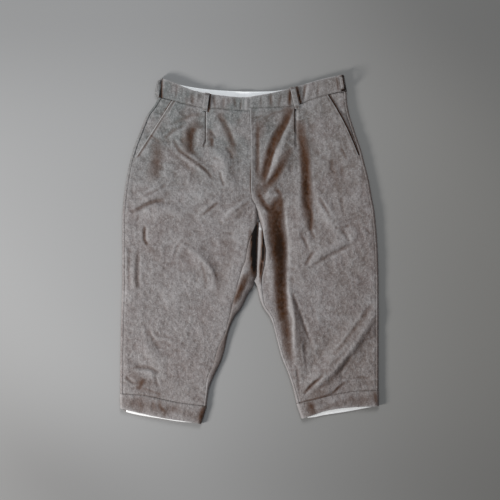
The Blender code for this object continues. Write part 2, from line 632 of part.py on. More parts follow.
def main():
    for item in list(bpy.data.objects):
        bpy.data.objects.remove(item, do_unlink=True)
    moleskin = make_finish("moleskin", 0.92)
    cotton = make_finish("cotton", 0.85)
    for leg in (RIGHT, LEFT):
        add_front(leg, moleskin)
        add_back(leg, moleskin)
        add_waistband(leg, moleskin)
        add_pocket_facing(leg, moleskin)
        add_cuff(leg, moleskin)
        add_cuff_facing(leg, cotton)
    add_waist_lining(cotton)
    add_fly_underlap(moleskin)
    for leg, front_place, side_place in ((RIGHT, 104 * MM, 0.0), (LEFT, 113 * MM, 7 * MM)):
        add_belt_loop("belt_loop_front_" + leg["name"], leg, front_place, LOOP_TAIL, LOOP_BOW, moleskin)
        add_belt_loop("belt_loop_side_" + leg["name"], leg, side_place, SIDE_LOOP_TAIL, SIDE_LOOP_BOW, moleskin)
    add_back_loop(moleskin)


main()
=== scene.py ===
import bpy
import bmesh
import numpy as np
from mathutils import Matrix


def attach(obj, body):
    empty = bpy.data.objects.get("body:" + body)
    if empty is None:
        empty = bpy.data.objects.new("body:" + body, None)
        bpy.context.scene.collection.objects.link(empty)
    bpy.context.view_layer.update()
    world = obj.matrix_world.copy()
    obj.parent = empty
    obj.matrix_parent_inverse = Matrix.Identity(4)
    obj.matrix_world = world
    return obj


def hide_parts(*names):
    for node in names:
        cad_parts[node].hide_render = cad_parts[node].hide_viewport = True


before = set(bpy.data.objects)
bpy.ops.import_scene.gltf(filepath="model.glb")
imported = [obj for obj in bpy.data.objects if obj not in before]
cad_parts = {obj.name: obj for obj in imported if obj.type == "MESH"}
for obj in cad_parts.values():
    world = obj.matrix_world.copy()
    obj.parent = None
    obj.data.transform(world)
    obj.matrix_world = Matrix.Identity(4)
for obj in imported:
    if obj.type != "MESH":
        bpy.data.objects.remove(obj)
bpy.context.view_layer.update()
mm = 0.001


def addObject(name, data):
    thing = bpy.data.objects.new(name, data)
    bpy.context.scene.collection.objects.link(thing)
    return thing


# Camera and lights
def addCamera():
    view = {"height": 2.6, "covers": 1.125, "sensor": 36.0}    # covers is the frame's width on the floor
    data = bpy.data.cameras.new("camera")
    data.sensor_width = view["sensor"]
    data.lens = view["sensor"] * view["height"] / view["covers"]
    camera = addObject("camera", data)
    camera.location = (0, 0, view["height"])
    bpy.context.scene.camera = camera


def addLight(name, place, size, power, colour):
    data = bpy.data.lights.new(name, "AREA")
    data.shape = "DISK"
    data.size = size
    data.energy = power
    data.color = colour
    light = addObject(name, data)
    light.location = place
    light.rotation_euler = (-light.location).to_track_quat("-Z", "Y").to_euler()


addCamera()
addLight("keyLight", (-1.75, -0.85, 1.05), 0.6, 52, (1.0, 0.985, 0.97))
addLight("fillLight", (0.1, 1.5, 1.9), 1.2, 30, (0.94, 0.97, 1.0))
world = bpy.data.worlds.new("world")
world.use_nodes = True
sky = world.node_tree.nodes["Background"].inputs
sky["Color"].default_value = (0.86, 0.92, 1.0, 1)
sky["Strength"].default_value = 0.24
bpy.context.scene.world = world
bpy.context.scene.view_settings.view_transform = "Standard"
print("camera and lights")


def plugIn(tree, node, values):
    for name, value in values.items():
        value = getattr(value, "socket", value)
        if isinstance(value, bpy.types.NodeSocket):
            tree.links.new(value, node.inputs[name])
        else:
            node.inputs[name].default_value = value


def addNode(tree, kind, settings, values):
    # A node of any kind: settings first, then the values or wires of its inputs
    node = tree.nodes.new(kind)
    for name, value in settings.items():
        setattr(node, name, value)
    plugIn(tree, node, values)
    return node


# Shader maths, written as expressions
class Wire:
    def __init__(self, board, socket):
        self.board = board
        self.socket = socket

    def maths(self, operation, *values):
        return self.board.add("ShaderNodeMath", {"operation": operation}, dict(enumerate(values)))

    def __add__(self, other):
        return self.maths("ADD", self, other)

    def __radd__(self, other):
        return self.maths("ADD", other, self)

    def __sub__(self, other):
        return self.maths("SUBTRACT", self, other)

    def __rsub__(self, other):
        return self.maths("SUBTRACT", other, self)

    def __mul__(self, other):
        return self.maths("MULTIPLY", self, other)

    def __rmul__(self, other):
        return self.maths("MULTIPLY", other, self)


class Board:
    def __init__(self, name):
        self.material = bpy.data.materials.new(name)
        self.material.use_nodes = True
        self.tree = self.material.node_tree
        self.shader = self.tree.nodes["Principled BSDF"]

    def add(self, kind, settings, values, output=0):
        return Wire(self, addNode(self.tree, kind, settings, values).outputs[output])

    def place(self, stretch=(1, 1, 1)):
        spot = self.add("ShaderNodeTexCoord", {}, {}, "Object")
        return self.add("ShaderNodeMapping", {}, {"Vector": spot, "Scale": stretch})

    def axis(self, k):
        return self.add("ShaderNodeSeparateXYZ", {}, {"Vector": self.place()}, k)

    def painted(self, name):
        return self.add("ShaderNodeAttribute", {"attribute_name": name}, {}, "Fac")

    def grain(self, size, detail=2.0, stretch=(1, 1, 1), seat=0.0):
        # Soft noise from 0 to 1, with lumps about one size across
        values = {"Vector": self.place(stretch), "W": seat, "Scale": 1 / size, "Detail": detail}
        return self.add("ShaderNodeTexNoise", {"noise_dimensions": "4D"}, values)

    def ramp(self, value, low, high):
        # Smooth step from 0 at low to 1 at high
        values = {"Value": value, "From Min": low, "From Max": high}
        return self.add("ShaderNodeMapRange", {"interpolation_type": "SMOOTHSTEP"}, values)

    def blend(self, share, first, second):
        return self.add("ShaderNodeMix", {"data_type": "RGBA"}, {0: share, 6: first, 7: second}, 2)

    def feed(self, values):
        plugIn(self.tree, self.shader, values)

    def bump(self, height, distance, strength=1.0):
        values = {"Strength": strength, "Distance": distance, "Height": height}
        self.feed({"Normal": self.add("ShaderNodeBump", {}, values)})


def moleskinFinish(name):
    # Brushed grey-brown cotton with random paler and darker flecks: paler where worn and where highlights are
    # painted, browner where shade is painted, and painted black shadow deep in the fork
    look = {"waist": (0.132, 0.140, 0.137, 1), "base": (0.196, 0.177, 0.173, 1),
            "side": (0.172, 0.143, 0.132, 1), "paleAndHighlight": (0.350, 0.336, 0.334, 1),
            "shade": (0.086, 0.072, 0.064, 1), "pale": (0.520, 0.510, 0.500, 1),
            "rosy": (0.176, 0.146, 0.140, 1), "shadeAndBrowning": (0.054, 0.020, 0.006, 1),
            "deep": (0.006, 0.004, 0.003, 1)}
    board = Board(name)
    across, upward = board.axis(0), board.axis(1)
    clouds = board.grain(45 * mm, 3.0)
    mottle = board.grain(6.5 * mm, 3.0, seat=2.0)
    streak = board.grain(8 * mm, 2.0, (1, 0.30, 1), seat=9.0)
    speck = board.grain(3.0 * mm, 3.0, seat=5.0)
    drift = board.grain(60 * mm, 2.0, seat=12.0)
    fibre = board.grain(0.6 * mm, 2.0, (1, 0.45, 1), seat=7.0)
    shadeAndBrowning, wearAndHighlight = board.painted("shadeAndBrowning"), board.painted("wearAndHighlight")
    low = board.ramp(0.14 * clouds - upward, 0.16, 0.46)
    tints = (
        (board.ramp(upward + 0.14 * clouds, 0.12, 0.38), "waist"),
        (board.ramp(across + 0.1 * low, -0.05, 0.25) * 0.8 + low * 0.35, "side"),
        (board.ramp(drift, 0.45, 0.62) * 0.5, "rosy"),
        (board.ramp(clouds, 0.42, 0.74) * 0.40, "paleAndHighlight"),
        (board.ramp(mottle, 0.46, 0.74) * 0.22, "paleAndHighlight"),
        (board.ramp(1 - mottle, 0.50, 0.74) * 0.26, "shade"),
        (board.ramp(streak, 0.52, 0.76) * 0.32, "paleAndHighlight"),
        (board.ramp(speck, 0.50, 0.72) * 0.50, "paleAndHighlight"),
        (board.ramp(1 - speck, 0.50, 0.72) * 0.50, "shade"),
        # Paler where worn and where highlights are painted, palest where strongest; brown where shade is
        # painted, and black where the painted shadow is deepest
        (wearAndHighlight * (0.55 + 0.5 * mottle), "paleAndHighlight"),
        (board.ramp(wearAndHighlight, 0.75, 1.0) * (0.5 + 0.6 * mottle), "pale"),
        (shadeAndBrowning * (0.80 + 0.55 * mottle), "shadeAndBrowning"),
        (board.ramp(shadeAndBrowning, 0.84, 1.0), "deep"),
    )
    colour = look["base"]
    for share, tint in tints:
        colour = board.blend(share, colour, look[tint])
    board.feed({"Base Color": colour, "Roughness": 0.86 + 0.1 * mottle, "Specular IOR Level": 0.15,
                "Sheen Weight": 0.10, "Sheen Roughness": 0.45})
    board.bump(mottle * 0.75 + streak * 0.35 + speck * 0.42 + fibre * 0.15, 3.0 * mm)
    return board.material


def cottonFinish():
    board = Board("cottonCloth")
    weave = board.grain(0.9 * mm, 2.0, (1, 0.3, 1))
    colour = board.blend(board.grain(12 * mm), (0.93, 0.93, 0.92, 1), (0.97, 0.97, 0.97, 1))
    board.feed({"Base Color": colour, "Roughness": 0.85, "Sheen Weight": 0.1})
    board.bump(weave, 0.2 * mm, 0.6)
    return board.material


def threadFinish():
    board = Board("sewingThread")
    colour = board.blend(board.grain(6 * mm), (0.135, 0.125, 0.118, 1), (0.225, 0.215, 0.207, 1))
    board.feed({"Base Color": colour, "Roughness": 0.6})
    return board.material


def addFloor():
    # Painted light falloff: near is the floor's colour on the left, towards the key light, far its darker
    # colour on the right, corner the darker colour towards the ends and corners
    paper = {"half": 4.0, "near": (0.300, 0.298, 0.296, 1), "far": (0.200, 0.193, 0.179, 1),
             "corner": (0.120, 0.118, 0.114, 1)}
    half = paper["half"]
    mesh = bpy.data.meshes.new("floor")
    corners = [(-half, -half, 0), (half, -half, 0), (half, half, 0), (-half, half, 0)]
    mesh.from_pydata(corners, [], [(0, 1, 2, 3)])
    floor = addObject("floor", mesh)
    board = Board("floorPaper")
    across, endward = board.axis(0), board.axis(1)
    # Painted light falloff: darker from left to right, towards the top and bottom ends, and towards the
    # top-right and bottom-left corners
    ends = board.ramp(endward * endward, 0.03, 0.28)
    corners = board.ramp((across + endward) * (across + endward), 0.30, 1.0)
    tint = board.blend(board.ramp(across, -0.35, 0.62), paper["near"], paper["far"])
    tint = board.blend(ends * 0.26 + corners * 0.36, tint, paper["corner"])
    board.feed({"Base Color": tint, "Roughness": 0.9})
    mesh.materials.append(board.material)


moleskin = moleskinFinish("moleskinCloth")
cotton = cottonFinish()
thread = threadFinish()
addFloor()
print("materials and floor")


# The breeches' own lines, as in the solids
def columns(names, *numbers):
    # A curve in mm, its points given one after another
    names = names.split()
    values = np.array(numbers, dtype=float).reshape(-1, len(names)) * mm
    return dict(zip(names, values.T))


def xy(*numbers):
    return columns("x y", *numbers)


cloth = {"wall": 1.3 * mm, "band": 2.6 * mm, "cotton": 0.8 * mm, "loop": 1.8 * mm, "seamGap": 0.3 * mm,
         "bandRise": 0.8 * mm, "outerFold": 6 * mm, "innerFold": 5 * mm, "waistFold": 8 * mm,
         "edgeOnGap": 0.8 * mm, "turnSteps": 8, "stitchRise": 0.1 * mm}
rowMarks = {"fork": 12, "gusset": 14, "tip": 21, "cuff": 36, "mouth": 7, "pleatEnd": 4}
layHeight = columns("y height", 400, 14.5, 250, 14.3, 100, 14.0, -100, 13.0, -330, 12.0, -400, 12.0)
innerTurn = columns("y height", 100, 4.0, -70, 4.6, -140, 5.6, -200, 6.2, -400, 6.0)
centreFront = xy(1, 345, 0, 311, 2, 247, 3, 191, 2, 140, 5, 115, 13, 100)
centreBack = xy(-18, 360, -14, 313, -8, 200, 0, 60, 9, -70)
crotchSeam = xy(13, 100, 17, 82, 19, 62, 17, 7, 15.5, -25, 14.5, -56, 9, -70)
crotchDive = columns("y height", 108, 60, 100, 15, 82, 9, 62, 6, -60, 5, -90, 60)
diveSlope = 1.2

rightLeg = {
    "name": "Right", "sign": -1,
    "outer": xy(-204, 342, -217, 320, -231, 302, -246, 266, -260, 230, -270, 193, -277, 157, -284, 103,
        -286, 60, -286, -60, -288, -130, -290, -215, -291, -330),
    "inner": xy(9, -70, 6.5, -83, -2, -94, -11, -112, -20, -130, -34, -148, -48, -180, -56, -216, -64, -245,
        -81, -281, -93, -313, -98, -350),
    "inseam": xy(13, 100, 17, 82, 15, 62, 7, 43, -1, 24, -7, 0, -10, -22, -17, -40, -28, -79, -37, -112,
        -46, -151, -55, -184, -72, -220, -82, -256, -97, -292, -101, -331, -104, -350),
    "waistSeam": xy(-204, 342, -174, 335, -146, 327, -106, 319, -74, 317, -34, 313, 0, 311),
    "backWaistSeam": xy(-204, 342, -176, 332, -90, 316, -14, 312),
    "frontEdge": xy(-196, 384, -168, 374, -143, 363, -122, 356, -74, 347, -16, 342, 1, 343),
    "backEdge": xy(-196, 384, -176, 375, -90, 360, -14, 355),
    "cuffSeam": xy(-291, -322, -245, -325, -194, -335, -154, -343, -98, -350),
    "frontHem": xy(-290, -355, -235, -368, -174, -380, -118, -388, -111, -390),
    "backHem": xy(-290, -355, -275, -366, -194, -381, -154, -387, -111, -390),
    "mouth": ((-174 * mm, 335 * mm), (-254 * mm, 212 * mm)),
    # Width of the painted shadow under the pocket mouth; then the mouth and pleat edges, paler where worn and
    # where highlight is painted, and the strength of the pleat's painted shadow
    "mouthBow": 0, "mouthGape": 0.4 * mm, "mouthShade": 1.8 * mm,
    "wornAndLitEdges": {"mouth": 1.0, "pleat": 0.6},
    "pleatShade": 0, "pleatDip": 3.5 * mm,
    "outerRows": (342 * mm, 112 * mm, -40 * mm, -322 * mm),
    "centreRows": (311 * mm, 100 * mm, -70 * mm, -350 * mm),
    "pleat": -98 * mm,
}

# Upright ripples on the waistband, and painted shadow in the dark gaps beside its loops and along the ripples,
# as lines like the creases
rightLeg["ripples"] = (
    (-1, 4, 4, -166, 336, -163, 372), (-0.7, 7, 5, -127, 326, -131, 350),
    (-1, 4, 7, -82, 344, -77, 322), (-1, 4, 4, -59, 316, -58, 344),
    (-0.5, 3, 4, -48, 343, -46, 328), (-0.9, 4, 6, -36, 342, -31, 318),
    (-1.1, 4, 4, -21, 312, -20, 342), (0.8, 6, 6, -9, 313, -9, 341),
    (0.8, 6, 6, -146, 330, -147, 362), (0.7, 6, 6, -69, 317, -69, 344),
)
rightLeg["bandTones"] = (
    (1.5, 5, 5, -93, 300, -91, 332, -89, 366), (1.3, 7, 8, -199, 322, -200, 358, -198, 400),
    (0.18, 9, 7, -126, 322, -131, 356), (0.3, 5, 5, -79, 312, -80, 350),
    (0.2, 5, 4, -59, 318, -57, 342), (0.22, 4, 5, -36, 346, -31, 314),
    (0.18, 4, 4, -21, 312, -19, 334), (-0.5, 7, 7, -9, 305, -9, 348),
)
# Painted shade and browner patches on the cuff's front; paler below 0, painted highlight
rightLeg["cuffTones"] = (
    (0.42, 6, 8, -200, -330, -201, -349, -191, -363, -192, -380),
    (0.78, 9, 9, -101, -340, -108, -366, -115, -394), (0.34, 20, 20, -296, -338, -200, -354, -100, -372),
    (0.3, 7, 9, -246, -330, -241, -366), (0.2, 9, 9, -265, -332, -262, -354),
    (0.2, 8, 8, -218, -336, -209, -364), (0.22, 4, 4, -172, -342, -173, -366),
    (0.2, 4, 4, -185, -340, -185, -356), (-0.3, 7, 8, -184, -362, -150, -374),
)
# The turned-up edge in the fork: painted black shadow in its recess, painted brown shade lower down, and
# painted highlights along its lit lines below 0
rightLeg["flapTones"] = (
    (1.7, 9, 11, 14, 74, 10, 30, 9, -10, 9, -62), (0.3, 20, 20, 8, 66, -4, 10, -8, -50),
    (0.95, 12, 12, -4, -46, -18, -82, -36, -122), (0.35, 16, 16, -30, -100, -56, -190, -90, -290),
    (-0.4, 4, 4, -14, -38, -10, -56), (-0.5, 5, 5, -2, -74, -16, -102, -32, -130),
)
# Large folds: three points, then height and width to the left and right of the line
rightLeg["folds"] = (
    (-187, 250, -162, 274, -118, 276, 4, 14, 20), (-176, 252, -137, 207, -80, 156, 4.5, 12, 16),
    (-86, 235, -56, 190, -38, 130, 4.5, 22, 18), (-191, 144, -225, 128, -274, 97, 3.5, 16, 14),
    (-270, 79, -214, 101, -126, 80, 4, 14, 18), (5, 114, -27, 90, -66, 62, 5, 12, 14),
    (-65, 117, -90, 97, -118, 72, 3.5, 14, 12), (-144, 12, -96, -29, -74, -96, 4, 18, 16),
    (10, 68, -22, -40, -66, -190, 8, 24, 34), (-142, 34, -160, 4, -176, -32, 3, 16, 16),
    (-277, -2, -262, -56, -268, -118, 2.5, 14, 18), (-252, -194, -222, -236, -190, -266, 3.5, 16, 18),
    (-286, -259, -248, -272, -186, -285, 3, 10, 14),
)
# Creases too fine for the solids: height, width to the left and right of the line, then its points
rightLeg["creases"] = (
    (-1.8, 7, 6, -146, 279, -172, 269, -189, 252), (1.8, 9, 9, -144, 277, -144, 250, -142, 225),
    (-2.8, 14, 9, -127, 274, -129, 250, -127, 225),
    (-2.6, 8, 6, -174, 252, -162, 227, -130, 203, -99, 179, -81, 157), (-1.5, 6, 6, -92, 271, -75, 250),
    (-1.7, 5, 6, -94, 247, -83, 247, -85, 232), (-2.4, 9, 11, -73, 304, -54, 279, -37, 239, -34, 232),
    (-1.7, 6, 8, -54, 232, -42, 216, -39, 202), (-1.6, 20, 20, -209, 205, -203, 175, -214, 159),
    (-1.6, 7, 6, -187, 145, -223, 127, -237, 121), (-2.6, 7, 7, -191, 112, -215, 108, -254, 90, -268, 84),
    (1.2, 8, 8, -189, 124, -214, 120, -252, 103, -267, 97), (-1.2, 5, 5, -254, 64, -247, 80),
    (-2.4, 5, 7, -235, 54, -235, 24, -225, 10), (-1.1, 6, 6, -85, 207, -63, 199),
    (-1.5, 5, 6, -69, 177, -57, 141), (-1.8, 7, 7, -69, 108, -103, 80),
    (-2.6, 8, 8, 0, 110, -26, 90, -57, 64), (-0.8, 6, 6, -63, 38, -35, 36),
    (-1.1, 7, 7, -139, 34, -163, 4, -173, -32), (0.8, 6, 6, -175, 32, -165, 18),
    (0.9, 6, 6, -132, 189, -141, 139), (1.3, 9, 8, -137, 4, -111, -16, -87, -46, -77, -90),
    (-1.2, 8, 7, -111, -26, -95, -76), (-1.3, 7, 6, -270, 5, -271, -40, -270, -90),
    (1, 6, 6, -258, 5, -259, -50, -258, -90), (-1.2, 7, 6, -250, 5, -251, -40, -250, -90),
    (1.1, 6, 7, -223, -184, -204, -199, -185, -201, -171, -209),
    (-1.4, 10, 9, -241, -159, -220, -192, -200, -224), (-1.7, 8, 8, -274, -265, -231, -263, -204, -278),
    (-2, 7, 7, -279, -284, -256, -299, -240, -292), (-1.6, 7, 7, -214, -282, -204, -307),
)
# Browner from 0 to 1 and paler below 0: mostly painted shade on slopes and in folds away from the light, and
# painted highlight on lit ridges and folds, with a few faint rows for the cloth's own browner patches
rightLeg["tones"] = (
    (0.65, 12, 13, -66, 306, -50, 265, -38, 232, -36, 204), (0.5, 3, 4, -192, 248, -168, 267, -145, 278),
    (0.3, 5, 5, -92, 268, -84, 250, -86, 232, -124, 236),
    (1, 7, 26, -106, 277, -122, 272, -131, 257, -133, 238, -128, 212),
    (0.4, 7, 8, -170, 284, -142, 297, -122, 303, -100, 302), (0.6, 7, 8, -94, 264, -87, 248, -86, 232),
    (6, 3, 4, -91, 326, -93, 308), (0.5, 2.5, 3, -225, 259, -213, 250, -202, 242),
    (0.38, 6, 7, -176, 253, -156, 222, -124, 196, -99, 179, -81, 157),
    (0.6, 18, 22, -206, 252, -208, 205, -221, 152), (0.3, 8, 8, -191, 110, -215, 106, -254, 88, -268, 82),
    (0.35, 16, 16, -270, -270, -245, -292, -205, -300),
    (1.1, 7, 8, -238, -288, -244, -302, -250, -308, -257, -308),
    (0.5, 4, 5, -250, -309, -240, -310, -220, -316, -198, -323),
    (0.35, 3, 4, -258, -320, -226, -326, -196, -333), (0.3, 8, 8, -208, -318, -202, -330),
    (-0.4, 12, 12, -116, 264, -106, 246, -104, 234),
    (-0.4, 12, 14, 0, 84, -14, 20, -29, -40, -47, -110, -63, -160, -80, -226),
    (0.16, 26, 26, -48, 70, -50, -10, -66, -100), (0.22, 7, 7, -109, -22, -99, -58, -101, -88),
    (0.25, 6, 7, -78, -54, -69, -104), (-0.3, 8, 8, -141, 6, -117, -16, -97, -36, -81, -64, -77, -98),
    (0.8, 4, 5, -236, 52, -237, 32, -231, 12), (0.3, 8, 8, -232, 18, -215, -6, -196, -24),
    (-0.35, 16, 14, -230, 94, -212, 82, -194, 74), (0.45, 4, 5, -112, 74, -92, 91, -72, 107),
    (0.4, 5, 6, -57, 64, -34, 76, -16, 92, 0, 110), (0.8, 4, 8, 3, 52, 0, 30, -3, 0),
)
rightLeg["underFolds"] = (
    (-196, 296, -150, 262, -92, 250, 1.5, 7, 9), (-232, 206, -176, 186, -130, 142, 1.3, 8, 6),
    (-30, 180, -78, 132, -108, 64, 1.7, 10, 7), (-262, 84, -206, 62, -150, 74, 1.2, 7, 8),
    (-14, 30, -62, 4, -88, -48, 1.8, 8, 10), (-150, 12, -176, -40, -170, -104, 1.1, 9, 7),
    (-262, -70, -222, -96, -190, -150, 1.4, 8, 9), (-74, -120, -112, -160, -126, -232, 1.5, 7, 10),
    (-250, -214, -204, -236, -160, -288, 1.3, 9, 7), (-232, -20, -240, -60, -226, -110, 1, 6, 8),
)

leftLeg = {
    "name": "Left", "sign": 1,
    "outer": xy(216, 355, 217, 335, 223, 302, 229, 283, 241, 247, 248, 227, 257, 193, 266, 157, 274, 112,
        279, 85, 286, 0, 288, -83, 288, -330),
    "inner": xy(9, -70, 15, -79, 19, -94, 23.5, -112, 31.5, -130, 44, -148, 52, -166, 62, -205, 71, -238,
        85.5, -274, 97, -310, 105, -344),
    "inseam": xy(13, 100, 17, 82, 23, 62, 29, 43, 32.5, 16, 36, -4, 34.5, -27, 27, -67, 27, -79, 29, -100,
        32, -119, 52, -153, 60, -184, 78, -245, 96, -292, 108, -333, 111, -344),
    "waistSeam": xy(0, 318, 66, 320, 99, 323, 147, 340, 199, 353, 216, 355),
    "backWaistSeam": xy(-14, 312, 46, 312, 95, 320, 187, 348, 216, 355),
    "frontEdge": xy(1, 343, 46, 351, 87, 361, 187, 388, 210, 391),
    "backEdge": xy(-14, 355, 46, 356, 95, 363, 187, 388, 210, 391),
    "cuffSeam": xy(105, -344, 150, -334, 200, -322, 245, -316, 288, -315),
    "frontHem": xy(117, -378, 181, -358, 219, -353, 288, -350),
    "backHem": xy(117, -378, 140, -377, 167, -372, 219, -364, 275, -353, 288, -350),
    "mouth": ((174 * mm, 347 * mm), (242 * mm, 213 * mm)),
    # Width of the painted shadow under the pocket mouth; then the mouth and pleat edges, paler where worn and
    # where highlight is painted, and the strength of the pleat's painted shadow
    "mouthBow": 4.5 * mm, "mouthGape": 3.0 * mm, "mouthShade": 5.0 * mm,
    "wornAndLitEdges": {"mouth": 0.5, "pleat": 0},
    "pleatShade": 1.3, "pleatDip": 8 * mm,
    "outerRows": (355 * mm, 112 * mm, -40 * mm, -315 * mm),
    "centreRows": (318 * mm, 100 * mm, -70 * mm, -344 * mm),
    "pleat": 100 * mm,
}

leftLeg["ripples"] = (
    (-1.3, 5, 6, 46, 320, 49, 350), (-1.4, 6, 7, 92, 360, 90, 324),
    (-1, 4, 5, 66, 321, 70, 352), (-0.9, 4, 4, 24, 318, 25, 346),
    (0.9, 5, 5, 126, 330, 129, 368), (-0.9, 5, 5, 118, 332, 124, 368),
    (-0.8, 6, 6, 150, 342, 154, 374), (0.8, 7, 7, 36, 320, 38, 347),
)
# Painted shadow in the gaps beside the loops and along the ripples; painted highlight below 0
leftLeg["bandTones"] = (
    (1.5, 5, 5, 102, 374, 106, 358, 111, 338, 117, 312), (1.2, 4, 5, 206, 404, 212, 370, 217, 340),
    (0.35, 5, 6, 44, 354, 47, 334, 51, 316), (0.85, 6, 9, 92, 364, 89, 342, 90, 318),
    (0.22, 7, 6, 62, 318, 67, 346), (0.45, 5, 5, 124, 372, 121, 350, 118, 332),
    (-0.35, 4, 5, 129, 374, 127, 340), (0.7, 3, 3, 193, 390, 199, 352),
)
# Painted shade and browner patches on the cuff's front; paler below 0, painted highlight
leftLeg["cuffTones"] = (
    (0.84, 15, 17, 131, -338, 139, -354, 143, -374), (0.6, 7, 8, 279, -312, 284, -352),
    (0.28, 9, 10, 226, -322, 228, -338), (0.35, 18, 18, 150, -352, 220, -338, 292, -330),
    (-0.35, 10, 10, 128, -366, 170, -344, 216, -326),
)
# Painted black shadow in the fork's recess, and painted highlights along lit lines below 0
leftLeg["flapTones"] = (
    (1.25, 8, 7, 28, 60, 30, 20, 28, -16, 24, -50, 23, -78),
    (-0.9, 3.5, 2.5, 23, 56, 20, 30, 19, -4, 18, -56, 25, -90), (-1.6, 4, 4, 14, 46, 20, 49, 26, 44),
    (-0.5, 3, 3, 27, -22, 29, -32),
)
leftLeg["folds"] = (
    (86, 246, 68, 206, 36, 142, 5.5, 26, 12), (104, 226, 124, 158, 142, 20, -2.5, 18, 20),
    (112, 200, 110, 120, 118, 40, 3, 16, 14), (34, 128, 58, 106, 78, 132, 2.5, 12, 12),
    (14, 104, 36, 22, 60, -120, 9, 32, 16), (72, 126, 94, -20, 80, -190, -3.5, 22, 26),
    (116, -40, 182, 14, 248, 34, 4, 16, 14), (151, 121, 182, 74, 206, 16, 4, 18, 16),
    (82, -62, 104, -180, 112, -292, 6, 16, 14), (284, -122, 206, -232, 122, -322, 8, 30, 26),
    (214, -288, 178, -320, 134, -334, 3, 10, 12), (192, 244, 206, 220, 224, 190, 2.5, 14, 14),
)
leftLeg["creases"] = (
    (-1.2, 6, 6, 13, 295, 30, 302), (-3.4, 9, 13, 88, 304, 76, 279, 55, 247, 43, 202, 40, 194, 29, 156),
    (2, 12, 10, 97, 300, 82, 262, 61, 214, 36, 155), (-2.4, 9, 10, 77, 194, 46, 152, 25, 137),
    (-2.8, 9, 16, 110, 271, 114, 247, 126, 202, 127, 183, 129, 142, 127, 92),
    (-2, 6, 8, 127, 104, 138, 79, 136, 48, 146, 25), (-1.4, 7, 7, 200, 233, 215, 206),
    (-1.7, 7, 8, 17, 270, 17, 160), (-2.2, 8, 8, 19, 125, 46, 90, 69, 121),
    (-1.6, 6, 6, 61, 135, 71, 117), (1.8, 12, 12, 40, 130, 46, 118),
    (-3.2, 9, 26, 70, 112, 76, 58, 81, 17, 81, -25, 79, -66, 83, -130, 94, -171, 94, -214),
    (-1.7, 6, 7, 113, 42, 134, -2), (-1.9, 6, 7, 144, 0, 123, -37),
    (-1.3, 6, 6, 223, 54, 192, 48), (-1.7, 8, 8, 252, 31, 227, 13, 175, -14, 123, -46),
    (-1.7, 6, 7, 206, 50, 225, 17), (-1.5, 7, 8, 154, 117, 186, 67),
    (-1.3, 7, 7, 204, 117, 211, 75), (-1.6, 6, 7, 182, 204, 184, 183, 198, 166),
    (-1.3, 10, 10, 204, 194, 209, 142), (1.9, 6, 7, 88, -88, 99, -151, 99, -223),
    (-1.9, 7, 6, 94, -94, 115, -151, 138, -213), (1.1, 6, 6, 126, -192, 117, -217, 124, -276),
    (-1.6, 7, 7, 103, -255, 111, -307), (2.8, 13, 12, 282, -138, 240, -205, 188, -270, 136, -312),
    (-1.8, 10, 9, 276, -118, 236, -176, 188, -236), (-1.7, 9, 8, 229, -229, 202, -276),
    (-3.2, 5, 7, 165, -280, 145, -299, 121, -323), (-1.4, 7, 7, 213, -294, 182, -325, 119, -340),
    (-0.9, 6, 6, 282, -194, 251, -205), (-1.1, 6, 6, 240, -284, 271, -288),
)
# Browner from 0 to 1 and paler below 0: painted shade and painted highlight, as on the right leg
leftLeg["tones"] = (
    (2.2, 5, 22, 96, 320, 84, 286, 69, 257, 52, 219, 43, 185, 30, 146),
    (2, 15, 18, 110, 292, 117, 258, 122, 234, 126, 185, 128, 137, 131, 90, 140, 44),
    (0.45, 5, 6, 127, 100, 138, 79, 136, 48, 146, 25), (2.4, 23, 25, 60, 120, 57, 64, 62, 20, 66, -24),
    (1.1, 8, 10, 55, 142, 68, 122, 68, 80), (2.2, 16, 21, 62, 44, 66, -5, 68, -50, 69, -96, 74, -160),
    (1.2, 14, 16, 68, -90, 73, -130, 80, -171, 88, -250), (0.75, 7, 7, 17, 300, 18, 230, 17, 156),
    (0.35, 16, 14, 40, 302, 27, 280, 20, 250), (1.2, 13, 16, 94, 232, 81, 208, 66, 179, 48, 149, 26, 127),
    (0.3, 10, 14, 262, -160, 220, -236, 168, -296, 140, -322),
    (1.2, 9, 12, 17, 148, 23, 118, 38, 97, 60, 82), (0.35, 10, 10, 77, 194, 46, 152, 25, 137),
    (0.3, 7, 8, 144, 0, 123, -37), (0.4, 4, 5, 154, 119, 168, 96, 182, 68),
    (0.5, 3, 4, 202, 240, 210, 216, 220, 199), (0.28, 10, 12, 180, 216, 194, 160, 206, 104),
    (-0.2, 18, 18, 236, 216, 240, 130), (0.35, 4, 5, 26, 292, 50, 305, 88, 316),
    (0.35, 8, 9, 165, -280, 145, -299, 121, -323), (0.25, 9, 9, 276, -118, 236, -176, 188, -236),
    (0.35, 12, 12, 128, -330, 150, -324, 182, -320),
    (0.9, 3, 4, 106, -344, 133, -336, 160, -329, 183, -323), (0.8, 4, 4, 213, -296, 198, -307, 183, -322),
    (0.9, 4, 5, 154, -288, 137, -302, 121, -321), (0.45, 5, 6, 172, -286, 164, -299),
    (-0.6, 11, 10, 44, 142, 45, 122, 46, 100), (-0.25, 8, 8, 97, 296, 82, 262, 61, 214, 38, 160),
    (-0.35, 16, 14, 92, 230, 88, 150, 98, 60, 108, -40), (-0.25, 6, 6, 88, -88, 99, -151, 99, -223),
    (-0.55, 10, 10, 284, -134, 240, -205, 188, -270, 140, -312),
)
